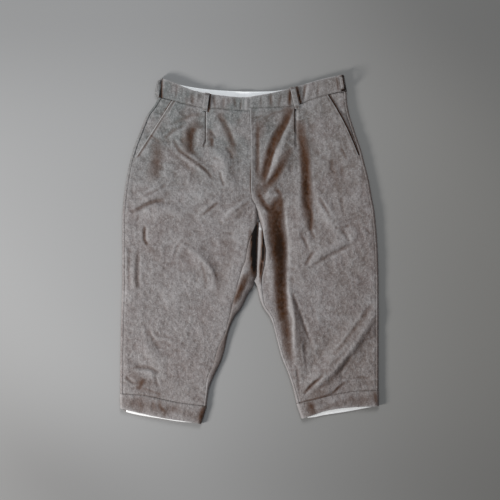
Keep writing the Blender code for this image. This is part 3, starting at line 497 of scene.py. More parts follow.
leftLeg["underFolds"] = (
    (206, 300, 158, 272, 96, 262, 1.4, 8, 9), (36, 196, 84, 148, 104, 82, 1.7, 7, 10),
    (246, 170, 204, 136, 146, 130, 1.2, 9, 7), (26, 40, 74, 8, 96, -56, 1.8, 10, 8),
    (262, 54, 212, 30, 160, 44, 1.3, 7, 8), (172, -16, 184, -66, 168, -120, 1.2, 8, 7),
    (268, -92, 226, -118, 204, -172, 1.4, 9, 8), (84, -140, 118, -170, 128, -240, 1.4, 8, 10),
    (258, -204, 214, -240, 156, -288, 1.5, 7, 8), (128, 236, 116, 200, 132, 160, 1, 6, 8),
)


def smooth(knots, values, at):
    # Curve through the knots that never runs past them
    knots, values = np.asarray(knots, dtype=float), np.asarray(values, dtype=float)
    if knots[0] > knots[-1]:
        knots, values = knots[::-1], values[::-1]
    step = np.diff(knots)
    slope = np.diff(values) / step
    product = slope[:-1] * slope[1:]
    total = slope[:-1] + slope[1:]
    turning = product <= 0
    middle = np.where(turning, 0.0, 2 * product / np.where(turning, 1.0, total))
    tangent = np.concatenate(([slope[0]], middle, [slope[-1]]))
    at = np.clip(np.asarray(at, dtype=float), knots[0], knots[-1])
    k = np.clip(np.searchsorted(knots, at, side="right") - 1, 0, len(step) - 1)
    t = (at - knots[k]) / step[k]
    rise = values[k + 1] - values[k]
    return (values[k] + rise * t * t * (3 - 2 * t)
            + step[k] * t * (1 - t) * (tangent[k] * (1 - t) - tangent[k + 1] * t))


def along(curve, key, at):
    other = next(name for name in curve if name != key)
    return smooth(curve[key], curve[other], at)


def easy(value):
    value = np.clip(value, 0, 1)
    return value * value * (3 - 2 * value)


def bell(distance, width):
    return np.exp(-(distance / width) ** 2)


def raised(plan, height):
    return np.concatenate([plan, height[..., None]], axis=-1)


def crowded(start, end, count):
    # Even steps with two closer ones at each end, for the roll of a seam
    steps = np.linspace(start, end, count)
    near = (steps[1] - steps[0]) * np.array([0.3, 0.62])
    return np.concatenate([steps[:1], start + near, steps[1:-1], (end - near)[::-1], steps[-1:]])


def addRidge(lift, x, y, line, height, left, right, power=1.0, ends=0.9):
    # Adds a ridge or trough along a line: soft across, and tapered at both ends
    lineX, lineY = line
    t = np.linspace(0, 1, len(lineX))
    reach = max(left, right)
    close = ((x > lineX.min() - reach) & (x < lineX.max() + reach)
             & (y > lineY.min() - reach) & (y < lineY.max() + reach))
    if not close.any():
        return
    awayX = x[close][:, None] - lineX
    awayY = y[close][:, None] - lineY
    near = np.hypot(awayX, awayY).argmin(axis=-1)
    pick = (np.arange(len(near)), near)
    runX, runY = np.gradient(lineX)[near], np.gradient(lineY)[near]
    length = np.hypot(runX, runY)
    side = (runX * awayY[pick] - runY * awayX[pick]) / length
    onward = (runX * awayX[pick] + runY * awayY[pick]) / length
    place = np.clip(t[near] + onward / length * t[1], 0, 1)
    beyond = np.clip(np.abs(onward) - length, 0, None)
    across = np.clip(np.hypot(side, beyond) / np.where(side > 0, left, right), 0, 1)
    lift[close] += height * np.sin(np.pi * place) ** ends * (0.5 + 0.5 * np.cos(np.pi * across)) ** power


def foldLift(folds, x, y, spread=1.0, power=1.2, ends=0.6):
    # Height of the large folds, which the solids have too
    lift = np.zeros_like(x)
    t = np.linspace(0, 1, 25)
    bend = [(1 - t) ** 2, 2 * t * (1 - t), t ** 2]
    for *spots, height, left, right in np.array(folds) * mm:
        line = [sum(bend[i] * spots[2 * i + k] for i in range(3)) for k in range(2)]
        addRidge(lift, x, y, line, height, left * spread, right * spread, power, ends)
    return lift


def tracedLift(rows, plan, unit=1.0, power=1.0):
    # Total of the lines that are given point by point
    x, y = plan[..., 0], plan[..., 1]
    lift = np.zeros_like(x)
    for height, left, right, *spots in rows:
        spots = np.array(spots, dtype=float).reshape(-1, 2) * mm
        reach = np.concatenate([[0], np.cumsum(np.hypot(*np.diff(spots, axis=0).T))])
        at = np.linspace(0, reach[-1], 25)
        line = [smooth(reach, spots[:, k], at) for k in range(2)]
        addRidge(lift, x, y, line, height * unit, left * mm, right * mm, power, 0.5)
    return lift


def cloudy(x, y, size, seed):
    # Soft random lumps about one size across, from -1 to 1
    lattice = np.random.default_rng(seed).uniform(-1, 1, (256, 256))
    u, v = x / size + 128.3, y / size + 128.7
    i, j = np.floor(u).astype(int), np.floor(v).astype(int)
    s, t = easy(u - i), easy(v - j)
    corner = [lattice[(i + a) % 256, (j + b) % 256] for a, b in ((0, 0), (1, 0), (0, 1), (1, 1))]
    return (corner[0] * (1 - s) + corner[1] * s) * (1 - t) + (corner[2] * (1 - s) + corner[3] * s) * t


def clothTop(leg, x, y):
    # Height of the upper face of the cloth on one leg
    x, y = np.broadcast_arrays(np.asarray(x, dtype=float), np.asarray(y, dtype=float))
    lying = along(layHeight, "y", y)
    fromWaist, fromCuff = along(leg["waistSeam"], "x", x) - y, y - along(leg["cuffSeam"], "x", x)
    free = easy(np.minimum(fromWaist / (16 * mm), fromCuff / (9 * mm)))
    rumple = (0.90 * cloudy(x, y, 27 * mm, 1) + 0.62 * cloudy(x + 0.4 * y, y, 12 * mm, 2)
              + 0.32 * cloudy(x - 0.3 * y, y, 6 * mm, 3)) * mm
    lying = lying + foldLift(leg["folds"], x, y, 1.45, 1.1, 0.9) * 0.85
    lying = lying + (tracedLift(leg["creases"], np.stack([x, y], axis=-1), mm) + rumple) * free
    fromCrotch = np.abs(x - along(crotchSeam, "y", y))
    return np.minimum(lying, along(crotchDive, "y", y) + diveSlope * fromCrotch)


def rowPlaces(anchors, rows):
    return np.interp(rows, (0, rowMarks["fork"], rowMarks["tip"], rowMarks["cuff"]), anchors)


def outerEdge(leg, rows):
    y = rowPlaces(leg["outerRows"], rows)
    return np.stack([along(leg["outer"], "y", y), y], axis=1)


def outseam(leg, rows):
    edge = outerEdge(leg, rows)
    edge[:, 0] -= leg["sign"] * cloth["outerFold"]
    return edge


def frontInnerEdge(leg, rows):
    y = rowPlaces(leg["centreRows"], rows)
    x = np.where(y >= centreFront["y"][-1], along(centreFront, "y", y), along(leg["inseam"], "y", y))
    y += (along(leg["cuffSeam"], "x", x[-1]) - y[-1]) * easy((rows - rowMarks["cuff"] + 3) / 3)
    return np.stack([x, y], axis=1)


def mouthEdge(leg, rows):
    start, end = np.array(leg["mouth"][0]), np.array(leg["mouth"][1])
    part = np.clip(rows / rowMarks["mouth"], 0, 1)[:, None]
    bow = leg["mouthBow"] * np.sin(np.pi * part) * np.array([0.89 * leg["sign"], 0.45])
    return start * (1 - part) + end * part + bow


def frontOuterEdge(leg, rows):
    return np.where(rows[:, None] <= rowMarks["mouth"], mouthEdge(leg, rows), outseam(leg, rows))


def span(first, last, curve, fraction):
    x = first + (last - first) * fraction
    return np.stack([x, along(curve, "x", x)], axis=-1)


def widthOf(curve):
    return abs(curve["x"][0] - curve["x"][-1])


def sideFirst(leg, curve):
    # The two ends of a curve, from the leg's outer side inward
    ends = curve["x"][0], curve["x"][-1]
    return ends if leg["sign"] < 0 else ends[::-1]


def quarterTurn():
    # Steps round a fold: how far in and how far up, each from 0 to 1
    angles = np.linspace(0, np.pi / 2, cloth["turnSteps"])
    return 1 - np.cos(angles), np.sin(angles)


def panelPlan(outer, inner, topCurve, bottomCurve, fraction):
    # Plan of a panel from its four edges, at the given fractions across each row
    down = (outer[0, 1] - outer[:, 1]) / (outer[0, 1] - outer[-1, 1])
    u = fraction[..., None]
    straight = outer[:, None, :] * (1 - u) + inner[:, None, :] * u
    top = span(outer[0, 0], inner[0, 0], topCurve, fraction)
    top -= outer[0] * (1 - u) + inner[0] * u
    bottom = span(outer[-1, 0], inner[-1, 0], bottomCurve, fraction)
    bottom -= outer[-1] * (1 - u) + inner[-1] * u
    fade = down[:, None, None]
    return straight + top * (1 - fade) ** 2 + bottom * fade ** 2


edges = {"top": ((0,), (1,)), "bottom": ((-1,), (-2,)),
         "first": ((slice(None), 0), (slice(None), 1)), "last": ((slice(None), -1), (slice(None), -2))}


def drawIn(points, names, gap=cloth["seamGap"] / 2):
    # Pull the named edges of a grid back in plan, to leave half a seam gap
    for name in names:
        here, there = edges[name]
        run = points[there] - points[here]
        length = np.linalg.norm(run[..., :2], axis=-1, keepdims=True)
        points[here] = points[here] + run * np.minimum(gap / np.maximum(length, 1e-9), 0.9)


def fromEdge(points, name):
    # Distance over the cloth from one edge of a grid
    line = points if name in ("first", "last") else np.swapaxes(points, 0, 1)
    step = np.linalg.norm(np.diff(line[..., :2], axis=1), axis=-1)
    order = slice(None, None, -1 if name in ("last", "bottom") else 1)
    run = np.pad(np.cumsum(step[:, order], axis=1), ((0, 0), (1, 0)))[:, order]
    return run if name in ("first", "last") else run.T


def rollSeams(points, names, depth=0.8 * mm, width=2.2 * mm):
    # Cloth dips where it is sewn
    for name in names:
        points[..., 2] -= depth * bell(fromEdge(points, name), width)


def sewnLine(points, name, distance, lift, rows=slice(None)):
    # A line on a grid's face, at a distance from one of its edges
    line = points if name in ("first", "last") else np.swapaxes(points, 0, 1)
    away = fromEdge(points, name)
    away = away if name in ("first", "last") else away.T
    if name in ("last", "bottom"):
        line, away = line[:, ::-1], away[:, ::-1]
    spots = [[np.interp(distance, away[i], line[i, :, k]) for k in range(3)] for i in range(len(line))]
    return np.array(spots)[rows] + np.array([0, 0, lift])


# Making a piece
def relief(points):
    # How far each point stands above or below the cloth round it, for painted highlights on ridges and painted
    # shade in troughs
    height = points[..., 2]
    wide = height.copy()
    for axis in (0, 1):
        pad = [(3, 3) if k == axis else (0, 0) for k in range(2)]
        padded = np.pad(wide, pad, mode="edge")
        wide = sum(np.take(padded, range(k, k + wide.shape[axis]), axis=axis) for k in range(7)) / 7
    return height - wide


def awayFromKey(points):
    # Painted light: slopes that face -x, towards the key light, are painted paler, and slopes that face +x,
    # away from it, browner
    down, across = np.gradient(points, axis=0), np.gradient(points, axis=1)
    normal = np.cross(down, across)
    normal /= np.maximum(np.linalg.norm(normal, axis=-1, keepdims=True), 1e-12)
    return normal[..., 0] * np.where(normal[..., 2] < 0, -1, 1)


def addPiece(name, grids, wall, closed=False, wearAndHighlight=(), shadeAndBrowning=()):
    # One shell from grids of points halfway through the cloth, with wear and painted highlight, and painted
    # shade, stored on its points
    shape = bmesh.new()
    layers = {key: shape.verts.layers.float.new(key) for key in ("wearAndHighlight", "shadeAndBrowning")}
    for g, points in enumerate(grids):
        lift = relief(points)
        lean = awayFromKey(points)
        # Painted highlight on ridges and on slopes towards the key light; painted shade in troughs and on
        # slopes away from it
        rubAndHighlight = np.clip(lift / (0.6 * mm), 0, 1) * 0.35 + np.clip(-lean - 0.04, 0, 0.5) * 0.75
        dark = np.minimum(np.clip(-lift / (0.8 * mm), 0, 1) * 0.35 + np.clip(lean - 0.04, 0, 0.5) * 1.0, 0.45)
        if g < len(wearAndHighlight):
            rubAndHighlight = np.maximum(np.clip(rubAndHighlight + wearAndHighlight[g], 0, 0.7), np.minimum(wearAndHighlight[g], 1))
        if g < len(shadeAndBrowning):
            rubAndHighlight = rubAndHighlight * (1 - 0.8 * np.minimum(shadeAndBrowning[g], 1))
            dark = np.maximum(1 - (1 - dark) * (1 - np.minimum(shadeAndBrowning[g], 0.86)), np.minimum(shadeAndBrowning[g], 1))
        rows, across = points.shape[:2]
        corners = []
        for i in range(rows):
            corners.append([])
            for j in range(across):
                corner = shape.verts.new(points[i, j])
                corner[layers["wearAndHighlight"]] = rubAndHighlight[i, j]
                corner[layers["shadeAndBrowning"]] = dark[i, j]
                corners[-1].append(corner)
        for i in range(rows - 1):
            for j in range(across if closed else across - 1):
                k = (j + 1) % across
                shape.faces.new((corners[i][j], corners[i + 1][j], corners[i + 1][k], corners[i][k]))
    bmesh.ops.remove_doubles(shape, verts=shape.verts, dist=0.01 * mm)
    bmesh.ops.recalc_face_normals(shape, faces=shape.faces)
    mesh = bpy.data.meshes.new(name)
    shape.to_mesh(mesh)
    shape.free()
    piece = addObject(name, mesh)
    shell = piece.modifiers.new("wall", "SOLIDIFY")
    shell.thickness = cloth[wall]
    shell.offset = 0.0
    white = wall == "cotton"
    return settle(piece, cotton if white else moleskin)


def settle(piece, finish):
    # Apply the modifiers, give the finish, and fix the piece to the body
    graph = bpy.context.evaluated_depsgraph_get()
    mesh = bpy.data.meshes.new_from_object(piece.evaluated_get(graph))
    piece.modifiers.clear()
    piece.data = mesh
    mesh.materials.clear()
    mesh.materials.append(finish)
    mesh.shade_smooth()
    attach(piece, "root")
    print(piece.name, len(mesh.polygons), "faces")
    return piece


def lay(node, flat, rests, area=None):
    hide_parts(node)


stitchLines = []      # Lines of points just above the cloth, for the sewing


# Front panels, with a pleat beside each front belt loop
def pleatFractions(leg, rows, outer, inner):
    pleat = {"depth": 20 * mm, "pitch": 1.7 * mm, "dip": leg["pleatDip"], "before": 34, "after": 44}
    half = pleat["pitch"] / 2
    index = np.linspace(0, 8, 33)
    layers = smooth(np.arange(9), (0.0, 1.1, 2.0, 2.0, 1.5, 1.0, 1.0, 0.5, 0.0), index)
    depth = np.zeros(pleat["before"] + len(index) + pleat["after"])
    depth[pleat["before"]:-pleat["after"]] = layers * pleat["pitch"]
    end = rowMarks["pleatEnd"]
    shut = []
    for row, first, last in zip(rows, outer[:, 0], inner[:, 0]):
        back = pleat["depth"] * (1 - min(row / end, 1) ** 1.6) + half * 0.3
        dips = [-share * pleat["dip"] for share in (1, 0.55, 0.2)]
        folded = np.array(dips + [back, back + half, back, half, 0, half])
        opened = np.array((-9, -6.6, -4.8, -3.4, -2.2, -1.2, -0.2, 0.9, 2.2)) * mm
        places = folded + (opened - folded) * easy((row - end) / 0.9)
        fold = (leg["pleat"] - first) / (last - first) + smooth(np.arange(9), places, index) / abs(last - first)
        before = crowded(0, fold[0], pleat["before"] - 3)[:-1]
        after = crowded(fold[-1], 1, pleat["after"] - 3)[1:]
        shut.append(np.concatenate([before, fold, after]))
    shut = np.array(shut)
    even = crowded(0, 1, shut.shape[1] - 4)
    sideways = 1 - easy((rows - end - 1.5) / 5)
    apart = 1 - easy((rows - end - 0.1) / 1.4)
    return even + (shut - even) * sideways[:, None], depth * apart[:, None]


def crotchGap(rows):
    # Half the gap at the inner edge of each row, wider where the cloth stands on edge
    close = np.interp(rows, (11, 12, 14, 15, 17, 18), (0, 1, 1, 0.6, 0.6, 0))
    return (cloth["seamGap"] / 2 + (cloth["edgeOnGap"] - cloth["seamGap"] / 2) * close)[:, None]


def addFront(leg):
    fly = {"overlap": 1.1 * mm, "reach": 7 * mm, "end": 112 * mm, "fade": 25 * mm}
    stitch = {"mouth": (2.5 * mm, 8 * mm), "fly": 2.5 * mm}
    rows = crowded(0, rowMarks["cuff"], 289)
    outer, inner = frontOuterEdge(leg, rows), frontInnerEdge(leg, rows)
    fraction, depth = pleatFractions(leg, rows, outer, inner)
    plan = panelPlan(outer, inner, leg["waistSeam"], leg["cuffSeam"], fraction)
    height = clothTop(leg, plan[..., 0], plan[..., 1]) - cloth["wall"] / 2 - depth
    points = raised(plan, height)
    aboveFork = easy((points[..., 1] - fly["end"]) / fly["fade"])
    fromInner = fromEdge(points, "last")
    fromOuter = fromEdge(points, "first")
    if leg["sign"] > 0:
        points[..., 2] += fly["overlap"] * aboveFork * easy(1.4 - fromInner / fly["reach"])
        points[..., 2] -= 0.35 * mm * aboveFork * bell(fromInner - 5 * mm, 1.6 * mm)
    belowMouth = (rows > rowMarks["mouth"])[:, None]
    wornAndLitEdges = leg["wornAndLitEdges"]
    points[..., 2] -= 0.8 * mm * belowMouth * bell(fromOuter, 2.2 * mm)
    points[..., 2] -= 0.7 * mm * (1 - aboveFork) * bell(fromInner, 2.0 * mm)
    rollSeams(points, ("top", "bottom"))
    drawIn(points, ("top", "bottom"), cloth["seamGap"])
    drawIn(points, ("first",))
    drawIn(points, ("last",), crotchGap(rows))
    # Painted shade from the leg's tones, browner in blotches; where the tones are below 0, painted highlight
    tone = tracedLift(leg["tones"], points, power=0.85)
    x, y = points[..., 0], points[..., 1]
    blotch = 1 + 0.22 * cloudy(x, y, 9 * mm, 61) + 0.15 * cloudy(x, y, 4 * mm, 62)
    tone = np.where(tone > 0, 0.87 * (1 - np.exp(-1.35 * np.maximum(tone, 0) * blotch)), tone)
    # Paler along the outer and inner edges, worn and with painted highlight; at the pocket mouth a paler edge
    # and a second paler line, with a painted shade line between them
    edge = bell(fromOuter, 2.0 * mm) * np.where(belowMouth, 0.25, wornAndLitEdges["mouth"])
    edge += 0.7 * wornAndLitEdges["mouth"] * ~belowMouth * bell(fromOuter - 8 * mm, 1.4 * mm)
    tone += 0.7 * wornAndLitEdges["mouth"] * ~belowMouth * bell(fromOuter - 4.5 * mm, 1.4 * mm)
    edge += bell(fromInner, 2.2 * mm) * 0.5
    # Painted highlight along the pleat's fold on the right leg, and painted shadow along it on the left
    pleatEdge = bell(points[..., 0] - leg["pleat"] + leg["sign"] * 0.5 * mm, 1.1 * mm)
    pleatEdge = pleatEdge * (rows < rowMarks["pleatEnd"] - 0.8)[:, None]
    edge += wornAndLitEdges["pleat"] * pleatEdge * (depth < 1 * mm)
    tone = np.maximum(tone, leg["pleatShade"] * pleatEdge)
    edge += np.clip(-tone, 0, 1)
    # Right leg: painted shadow along its inner edge above the fork, under the lap of the left front; left leg:
    # painted highlight along the fly edge
    if leg["sign"] < 0:
        beside = aboveFork * bell(fromInner - 0.6 * mm, 1.8 * mm)
        tone = np.maximum(tone, 0.75 * beside * easy((210 * mm - points[..., 1]) / (50 * mm)))
        edge -= 0.8 * beside
    else:
        edge += 0.3 * aboveFork * bell(fromInner, 2.6 * mm)
    piece = addPiece("front" + leg["name"], [points], "wall",
                     wearAndHighlight=[edge], shadeAndBrowning=[np.maximum(tone, 0)])
    lay("front_" + leg["name"].lower(), (0.36, 0.68), ["floor", "back" + leg["name"]], 0.19)
    above = cloth["wall"] / 2 + cloth["stitchRise"]
    mouth = rows <= rowMarks["mouth"]
    for distance in stitch["mouth"]:
        stitchLines.append(sewnLine(points, "first", distance, above, mouth))
    if leg["sign"] > 0:
        sewn = (inner[:, 1] > fly["end"] + 6 * mm) & (inner[:, 1] < 0.312)
        stitchLines.append(sewnLine(points, "last", stitch["fly"], above, sewn))
    return points


# Back panels, turned up round both folds of each leg
def addBack(leg):
    grid = {"rows": 253, "across": 62}
    rows = np.linspace(0, rowMarks["cuff"], grid["rows"])
    turn, climb = quarterTurn()
    outer = outerEdge(leg, rows)
    tipY = leg["centreRows"][2]
    y = rowPlaces((centreBack["y"][1], 110 * mm, tipY, leg["centreRows"][3]), rows)
    inner = np.stack([np.where(y >= tipY, along(centreBack, "y", y), along(leg["inner"], "y", y)), y], axis=1)
    tip = int(np.searchsorted(rows, rowMarks["tip"]))
    gusset = int(np.searchsorted(rows, rowMarks["gusset"]))
    width = np.abs(inner[:, 0] - outer[:, 0])
    low = np.full(len(rows), cloth["wall"] / 2)

    first = turn * cloth["outerFold"] / width[:, None]
    last = 1 - turn[::-1] * cloth["innerFold"] / width[:, None]
    middle = first[:, -1:] + (last[:, :1] - first[:, -1:]) * np.linspace(0, 1, grid["across"])[1:-1]
    fraction = np.concatenate([first, middle, last], axis=1)
    plan = panelPlan(outer, inner, leg["backWaistSeam"], leg["cuffSeam"], fraction)
    seam = outseam(leg, rows)
    top = clothTop(leg, seam[:, 0], seam[:, 1]) - cloth["wall"] / 2
    outermost = (low + top) / 2
    turnLine = along(innerTurn, "y", inner[:, 1])
    fromTip = np.hypot(plan[..., 0] - inner[tip, 0], plan[..., 1] - inner[tip, 1])
    across = np.abs(plan[..., 0] - inner[:, None, 0])
    distance = np.where(np.arange(len(rows))[:, None] <= tip, fromTip, across)
    part = np.clip(distance / cloth["innerFold"], 0, 1)
    height = turnLine[:, None] - (turnLine - low)[:, None] * np.sqrt(1 - (1 - part) ** 2)
    inside = slice(len(turn), -len(turn))
    rumple = 0.5 * mm * np.clip(cloudy(plan[..., 0], plan[..., 1], 16 * mm, 5), 0, 1)
    height[:, inside] += (foldLift(leg["underFolds"], plan[..., 0], plan[..., 1]) + rumple)[:, inside]
    height[:, :len(turn)] = outermost[:, None] + (low - outermost)[:, None] * climb
    under = raised(plan, height)

    stripX = outer[:, :1] - leg["sign"] * cloth["outerFold"] * turn[::-1]
    stripY = np.repeat(outer[:, 1:], len(turn), axis=1)
    stripY[0] = along(leg["waistSeam"], "x", stripX[0])
    stripY[-1] = along(leg["cuffSeam"], "x", stripX[-1])
    stripZ = outermost[:, None] + (top - outermost)[:, None] * climb[::-1]
    strip = np.stack([stripX, stripY, stripZ], axis=-1)
    under = np.concatenate([strip[:, :-1], under], axis=1)
    fromSeat = np.where(np.arange(len(rows))[:, None] <= tip - 7, fromEdge(under, "last"), 1.0)
    under[..., 2] += 0.6 * mm * bell(fromSeat, 2.2 * mm)
    under[..., 2] -= 0.7 * mm * bell(fromEdge(under, "first"), 2.0 * mm)
    drawIn(under, ("top", "bottom"), cloth["seamGap"])
    drawIn(under, ("first",))
    gap = np.where(rows < rowMarks["tip"] - 1, cloth["seamGap"] / 2, cloth["edgeOnGap"])[:, None]
    drawIn(under, ("last",), np.where(rows[:, None] <= rowMarks["tip"], gap, 0))

    late = rows[gusset:]
    y = rowPlaces(leg["centreRows"], late)
    x = np.where(y >= tipY, along(crotchSeam, "y", y), along(leg["inner"], "y", y))
    start, end = np.stack([x, y], axis=1), frontInnerEdge(leg, late)
    share = turn[None, :, None]
    flapPlan = start[:, None, :] * (1 - share) + end[:, None, :] * share
    rim = clothTop(leg, end[:, 0], end[:, 1]) - cloth["wall"] / 2
    crease = along(innerTurn, "y", start[:, 1])
    flapZ = crease[:, None] + (rim - crease)[:, None] * climb
    flap = raised(flapPlan, flapZ)
    flap[..., 2] -= 0.6 * mm * bell(fromEdge(flap, "last"), 1.5 * mm)
    drawIn(flap, ("bottom",), cloth["seamGap"])
    drawIn(flap, ("last",), crotchGap(late))
    openRows = tip - gusset
    drawIn(flap[:openRows], ("first",), 1.3 * cloth["edgeOnGap"])
    flap[openRows:, 0] = under[tip:, -1]
    # Painted highlight taken off the outer turned strip and put along the inner fold below the fork; on the
    # flap, painted shadow in the recess and painted highlights along its rim and lit lines
    stripHighlight = np.zeros(under.shape[:2])
    stripHighlight[:, :2 * cloth["turnSteps"]] = -0.7
    flapTone = tracedLift(leg["flapTones"], flap, power=0.65)
    flapHighlight = bell(fromEdge(flap, "last"), 1.6 * mm) * 0.3 + np.maximum(-flapTone, 0)
    stripHighlight[tip:, -3:] = 0.45
    piece = addPiece("back" + leg["name"], [under, flap], "wall",
                     wearAndHighlight=[stripHighlight, flapHighlight], shadeAndBrowning=[np.zeros(under.shape[:2]), np.maximum(flapTone, 0)])
    lay("back_" + leg["name"].lower(), (0.36, 0.70), ["floor"], 0.2)


# Waistband halves, their lining and the belt loops
def bandFace(leg, face, seam, edge, fromSide, share, turned):
    # Front or back of a band between its seam and its free edge, turned over at the sides
    q = fromSide / widthOf(seam)
    low = span(*sideFirst(leg, seam), seam, q)
    plan = low + (span(*sideFirst(leg, edge), edge, q) - low) * share[..., None]
    bottom = cloth["band"] / 2
    top = along(layHeight, "y", plan[..., 1]) + cloth["bandRise"] - bottom
    middle = (bottom + top) / 2
    return raised(plan, middle + (top - middle) * turned * (1 if face == "front" else -1))


def bandPoints(leg, face, fromSide, share, rise=0.0):
    seam = leg["waistSeam"] if face == "front" else leg["backWaistSeam"]
    edge = leg["frontEdge"] if face == "front" else leg["backEdge"]
    turned = np.sqrt(1 - (1 - np.clip(fromSide / cloth["waistFold"], 0, 1)) ** 2)
    points = bandFace(leg, face, seam, edge, fromSide, share, turned)
    points[..., 2] += rise
    return points


def centreRise(fromSide, width):
    # Lift of the waistband over the loop beneath its centre back
    return (cloth["loop"] + cloth["seamGap"]) * (1 - easy((width - fromSide - 9 * mm) / (16 * mm)))


def addWaistband(leg):
    ripple = {"height": 0.55 * mm, "steps": 84, "rows": 15}
    fold, backWidth = cloth["waistFold"], widthOf(leg["backWaistSeam"])
    grids = []
    for width in (widthOf(leg["waistSeam"]), backWidth):
        steps = np.concatenate([fold * quarterTurn()[0], crowded(fold, width, ripple["steps"])[1:]])
        grids.append(np.meshgrid(steps, crowded(0, 1, ripple["rows"])))
    (frontAt, frontShare), (backAt, backShare) = grids
    front = bandPoints(leg, "front", frontAt, frontShare)
    slack = easy((frontAt - 20 * mm) / (60 * mm)) * np.sin(np.pi * np.clip(frontShare, 0.02, 1)) ** 0.5
    wave = cloudy(frontAt + 6 * mm * frontShare, frontShare * 12 * mm, 8 * mm, 11)
    wave += 0.6 * cloudy(frontAt - 4 * mm * frontShare, frontShare * 8 * mm, 4.5 * mm, 12)
    front[..., 2] += ripple["height"] * wave * slack
    front[..., 2] += tracedLift(leg["ripples"], front, mm)
    back = bandPoints(leg, "back", backAt, backShare, centreRise(backAt, backWidth))
    rollSeams(front, ("top",), 0.9 * mm)
    points = np.concatenate([front[:, ::-1], back[:, 1:]], axis=1)
    drawIn(points, ("top",), cloth["seamGap"])
    drawIn(points, ("first", "last"))
    # Paler along the band's top edge and its front end; the band tones paint shadow beside the loops and in the
    # ripples, and highlight where below 0
    edge = bell(fromEdge(points, "bottom"), 2.2 * mm) * 0.85
    edge += bell(fromEdge(points, "first"), 3 * mm) * 0.5
    tone = tracedLift(leg["bandTones"], points)
    tone[:, front.shape[1]:] = 0
    piece = addPiece("waistband" + leg["name"], [points], "band",
                     wearAndHighlight=[edge + np.clip(-tone, 0, 1)], shadeAndBrowning=[np.clip(tone, 0, 1)])
    lay("waistband_" + leg["name"].lower(), (0.45, 0.042), ["floor", "back" + leg["name"]], 0.0175)
    above = cloth["band"] / 2 + cloth["stitchRise"]
    for side in ("top", "bottom"):
        stitchLines.append(sewnLine(front, side, 2 * mm, above, slice(10, None)))


def addWaistLining():
    lining = {"from": 14 * mm, "across": 70, "rows": 12, "crumple": 0.25 * mm}
    halves = []
    for leg in (rightLeg, leftLeg):
        width = widthOf(leg["backWaistSeam"])
        steps = np.linspace(lining["from"], width, lining["across"])
        at, share = np.meshgrid(steps, crowded(0.12, 1.01, lining["rows"]))
        half = bandPoints(leg, "back", at, share, centreRise(at, width))
        half[..., 2] += cloth["band"] / 2 + cloth["seamGap"] + cloth["cotton"] / 2
        half[..., 2] += lining["crumple"] * (cloudy(at, share * 30 * mm, 14 * mm, 21) + 1)
        halves.append(half if leg["sign"] < 0 else half[:, ::-1])
    points = np.concatenate([halves[0], halves[1][:, 1:]], axis=1)
    piece = addPiece("waistLining", [points], "cotton")
    lay("waist_lining", (0.40, 0.037), ["waistbandRight", "waistbandLeft"], 0.0145)


def addBeltLoop(name, node, leg, fromSide, tail, bow, lean=0.0, shade=0.0):
    loop = {"width": 11 * mm, "ramp": 5 * mm, "steps": 34, "across": 9}
    line = bandPoints(leg, "front", np.full(2, fromSide), np.array([0.0, 1.0]))
    beside = bandPoints(leg, "front", np.full(2, fromSide + 0.5 * mm), np.array([0.0, 1.0]))
    upward = line[1] - line[0]
    length = np.linalg.norm(upward)
    upward /= length
    across = beside[0] - line[0]
    across -= upward * across.dot(upward)
    across /= np.linalg.norm(across)
    outward = np.cross(upward, across)
    if outward[2] < 0 or (fromSide == 0 and outward[0] * leg["sign"] < 0):
        outward = -outward
    near = cloth["band"] / 2 + cloth["seamGap"] + cloth["loop"] / 2
    far = cloth["band"] / 2 + bow + cloth["loop"] / 2
    up = (-tail, -tail + 4 * mm, -tail + 4 * mm + loop["ramp"], length / 2,
          length - 2 * mm - loop["ramp"], length - 2 * mm, length + 1 * mm)
    out = (near, near, far, far + 0.5 * mm, far, near, near)
    finer = crowded(up[0], up[-1], loop["steps"])
    outFiner = smooth(up, out, finer)
    sides = np.linspace(-0.5, 0.5, loop["across"])
    crown = 0.35 * mm * (1 - (2 * sides) ** 4)
    sway = lean * (0.5 - (finer - finer[0]) / (finer[-1] - finer[0]))
    points = np.array([[line[0] + upward * a + outward * (b + c) + across * (s * loop["width"] + d)
                        for s, c in zip(sides, crown)] for a, b, d in zip(finer, outFiner, sway)])
    # Paler along both sides of the loop, worn and with painted highlight; painted shadow over the outer side
    # and foot of a loop given shade, where the gap beside it lies in shade
    edge = (np.abs(sides) > 0.36) * 0.6 + np.zeros((len(finer), 1))
    dark = shade * np.maximum(sides < -0.1, (finer < 6 * mm)[:, None])
    piece = addPiece(name, [points], "loop", wearAndHighlight=[edge * (1 - dark)], shadeAndBrowning=[dark])
    lay(node, (loop["width"], length + tail + 8 * mm), ["waistband" + leg["name"]])
    for column in (1, -2):
        stitchLines.append(points[2:-2, column] + outward * (cloth["loop"] / 2 + 0.05 * mm))


def addBackLoop():
    x = centreBack["x"][1] + np.linspace(-0.5, 0.5, 7) * 11 * mm
    low, high = rightLeg["backWaistSeam"]["y"][-1], rightLeg["backEdge"]["y"][-1]
    y = np.linspace(low + 2 * mm, high - 1 * mm, 18)
    gridX, gridY = np.meshgrid(x, y)
    points = np.stack([gridX, gridY, np.full_like(gridX, cloth["loop"] / 2)], axis=-1)
    piece = addPiece("beltLoopBack", [points], "loop")
    lay("belt_loop_back", (11 * mm, 0.048), ["floor"])


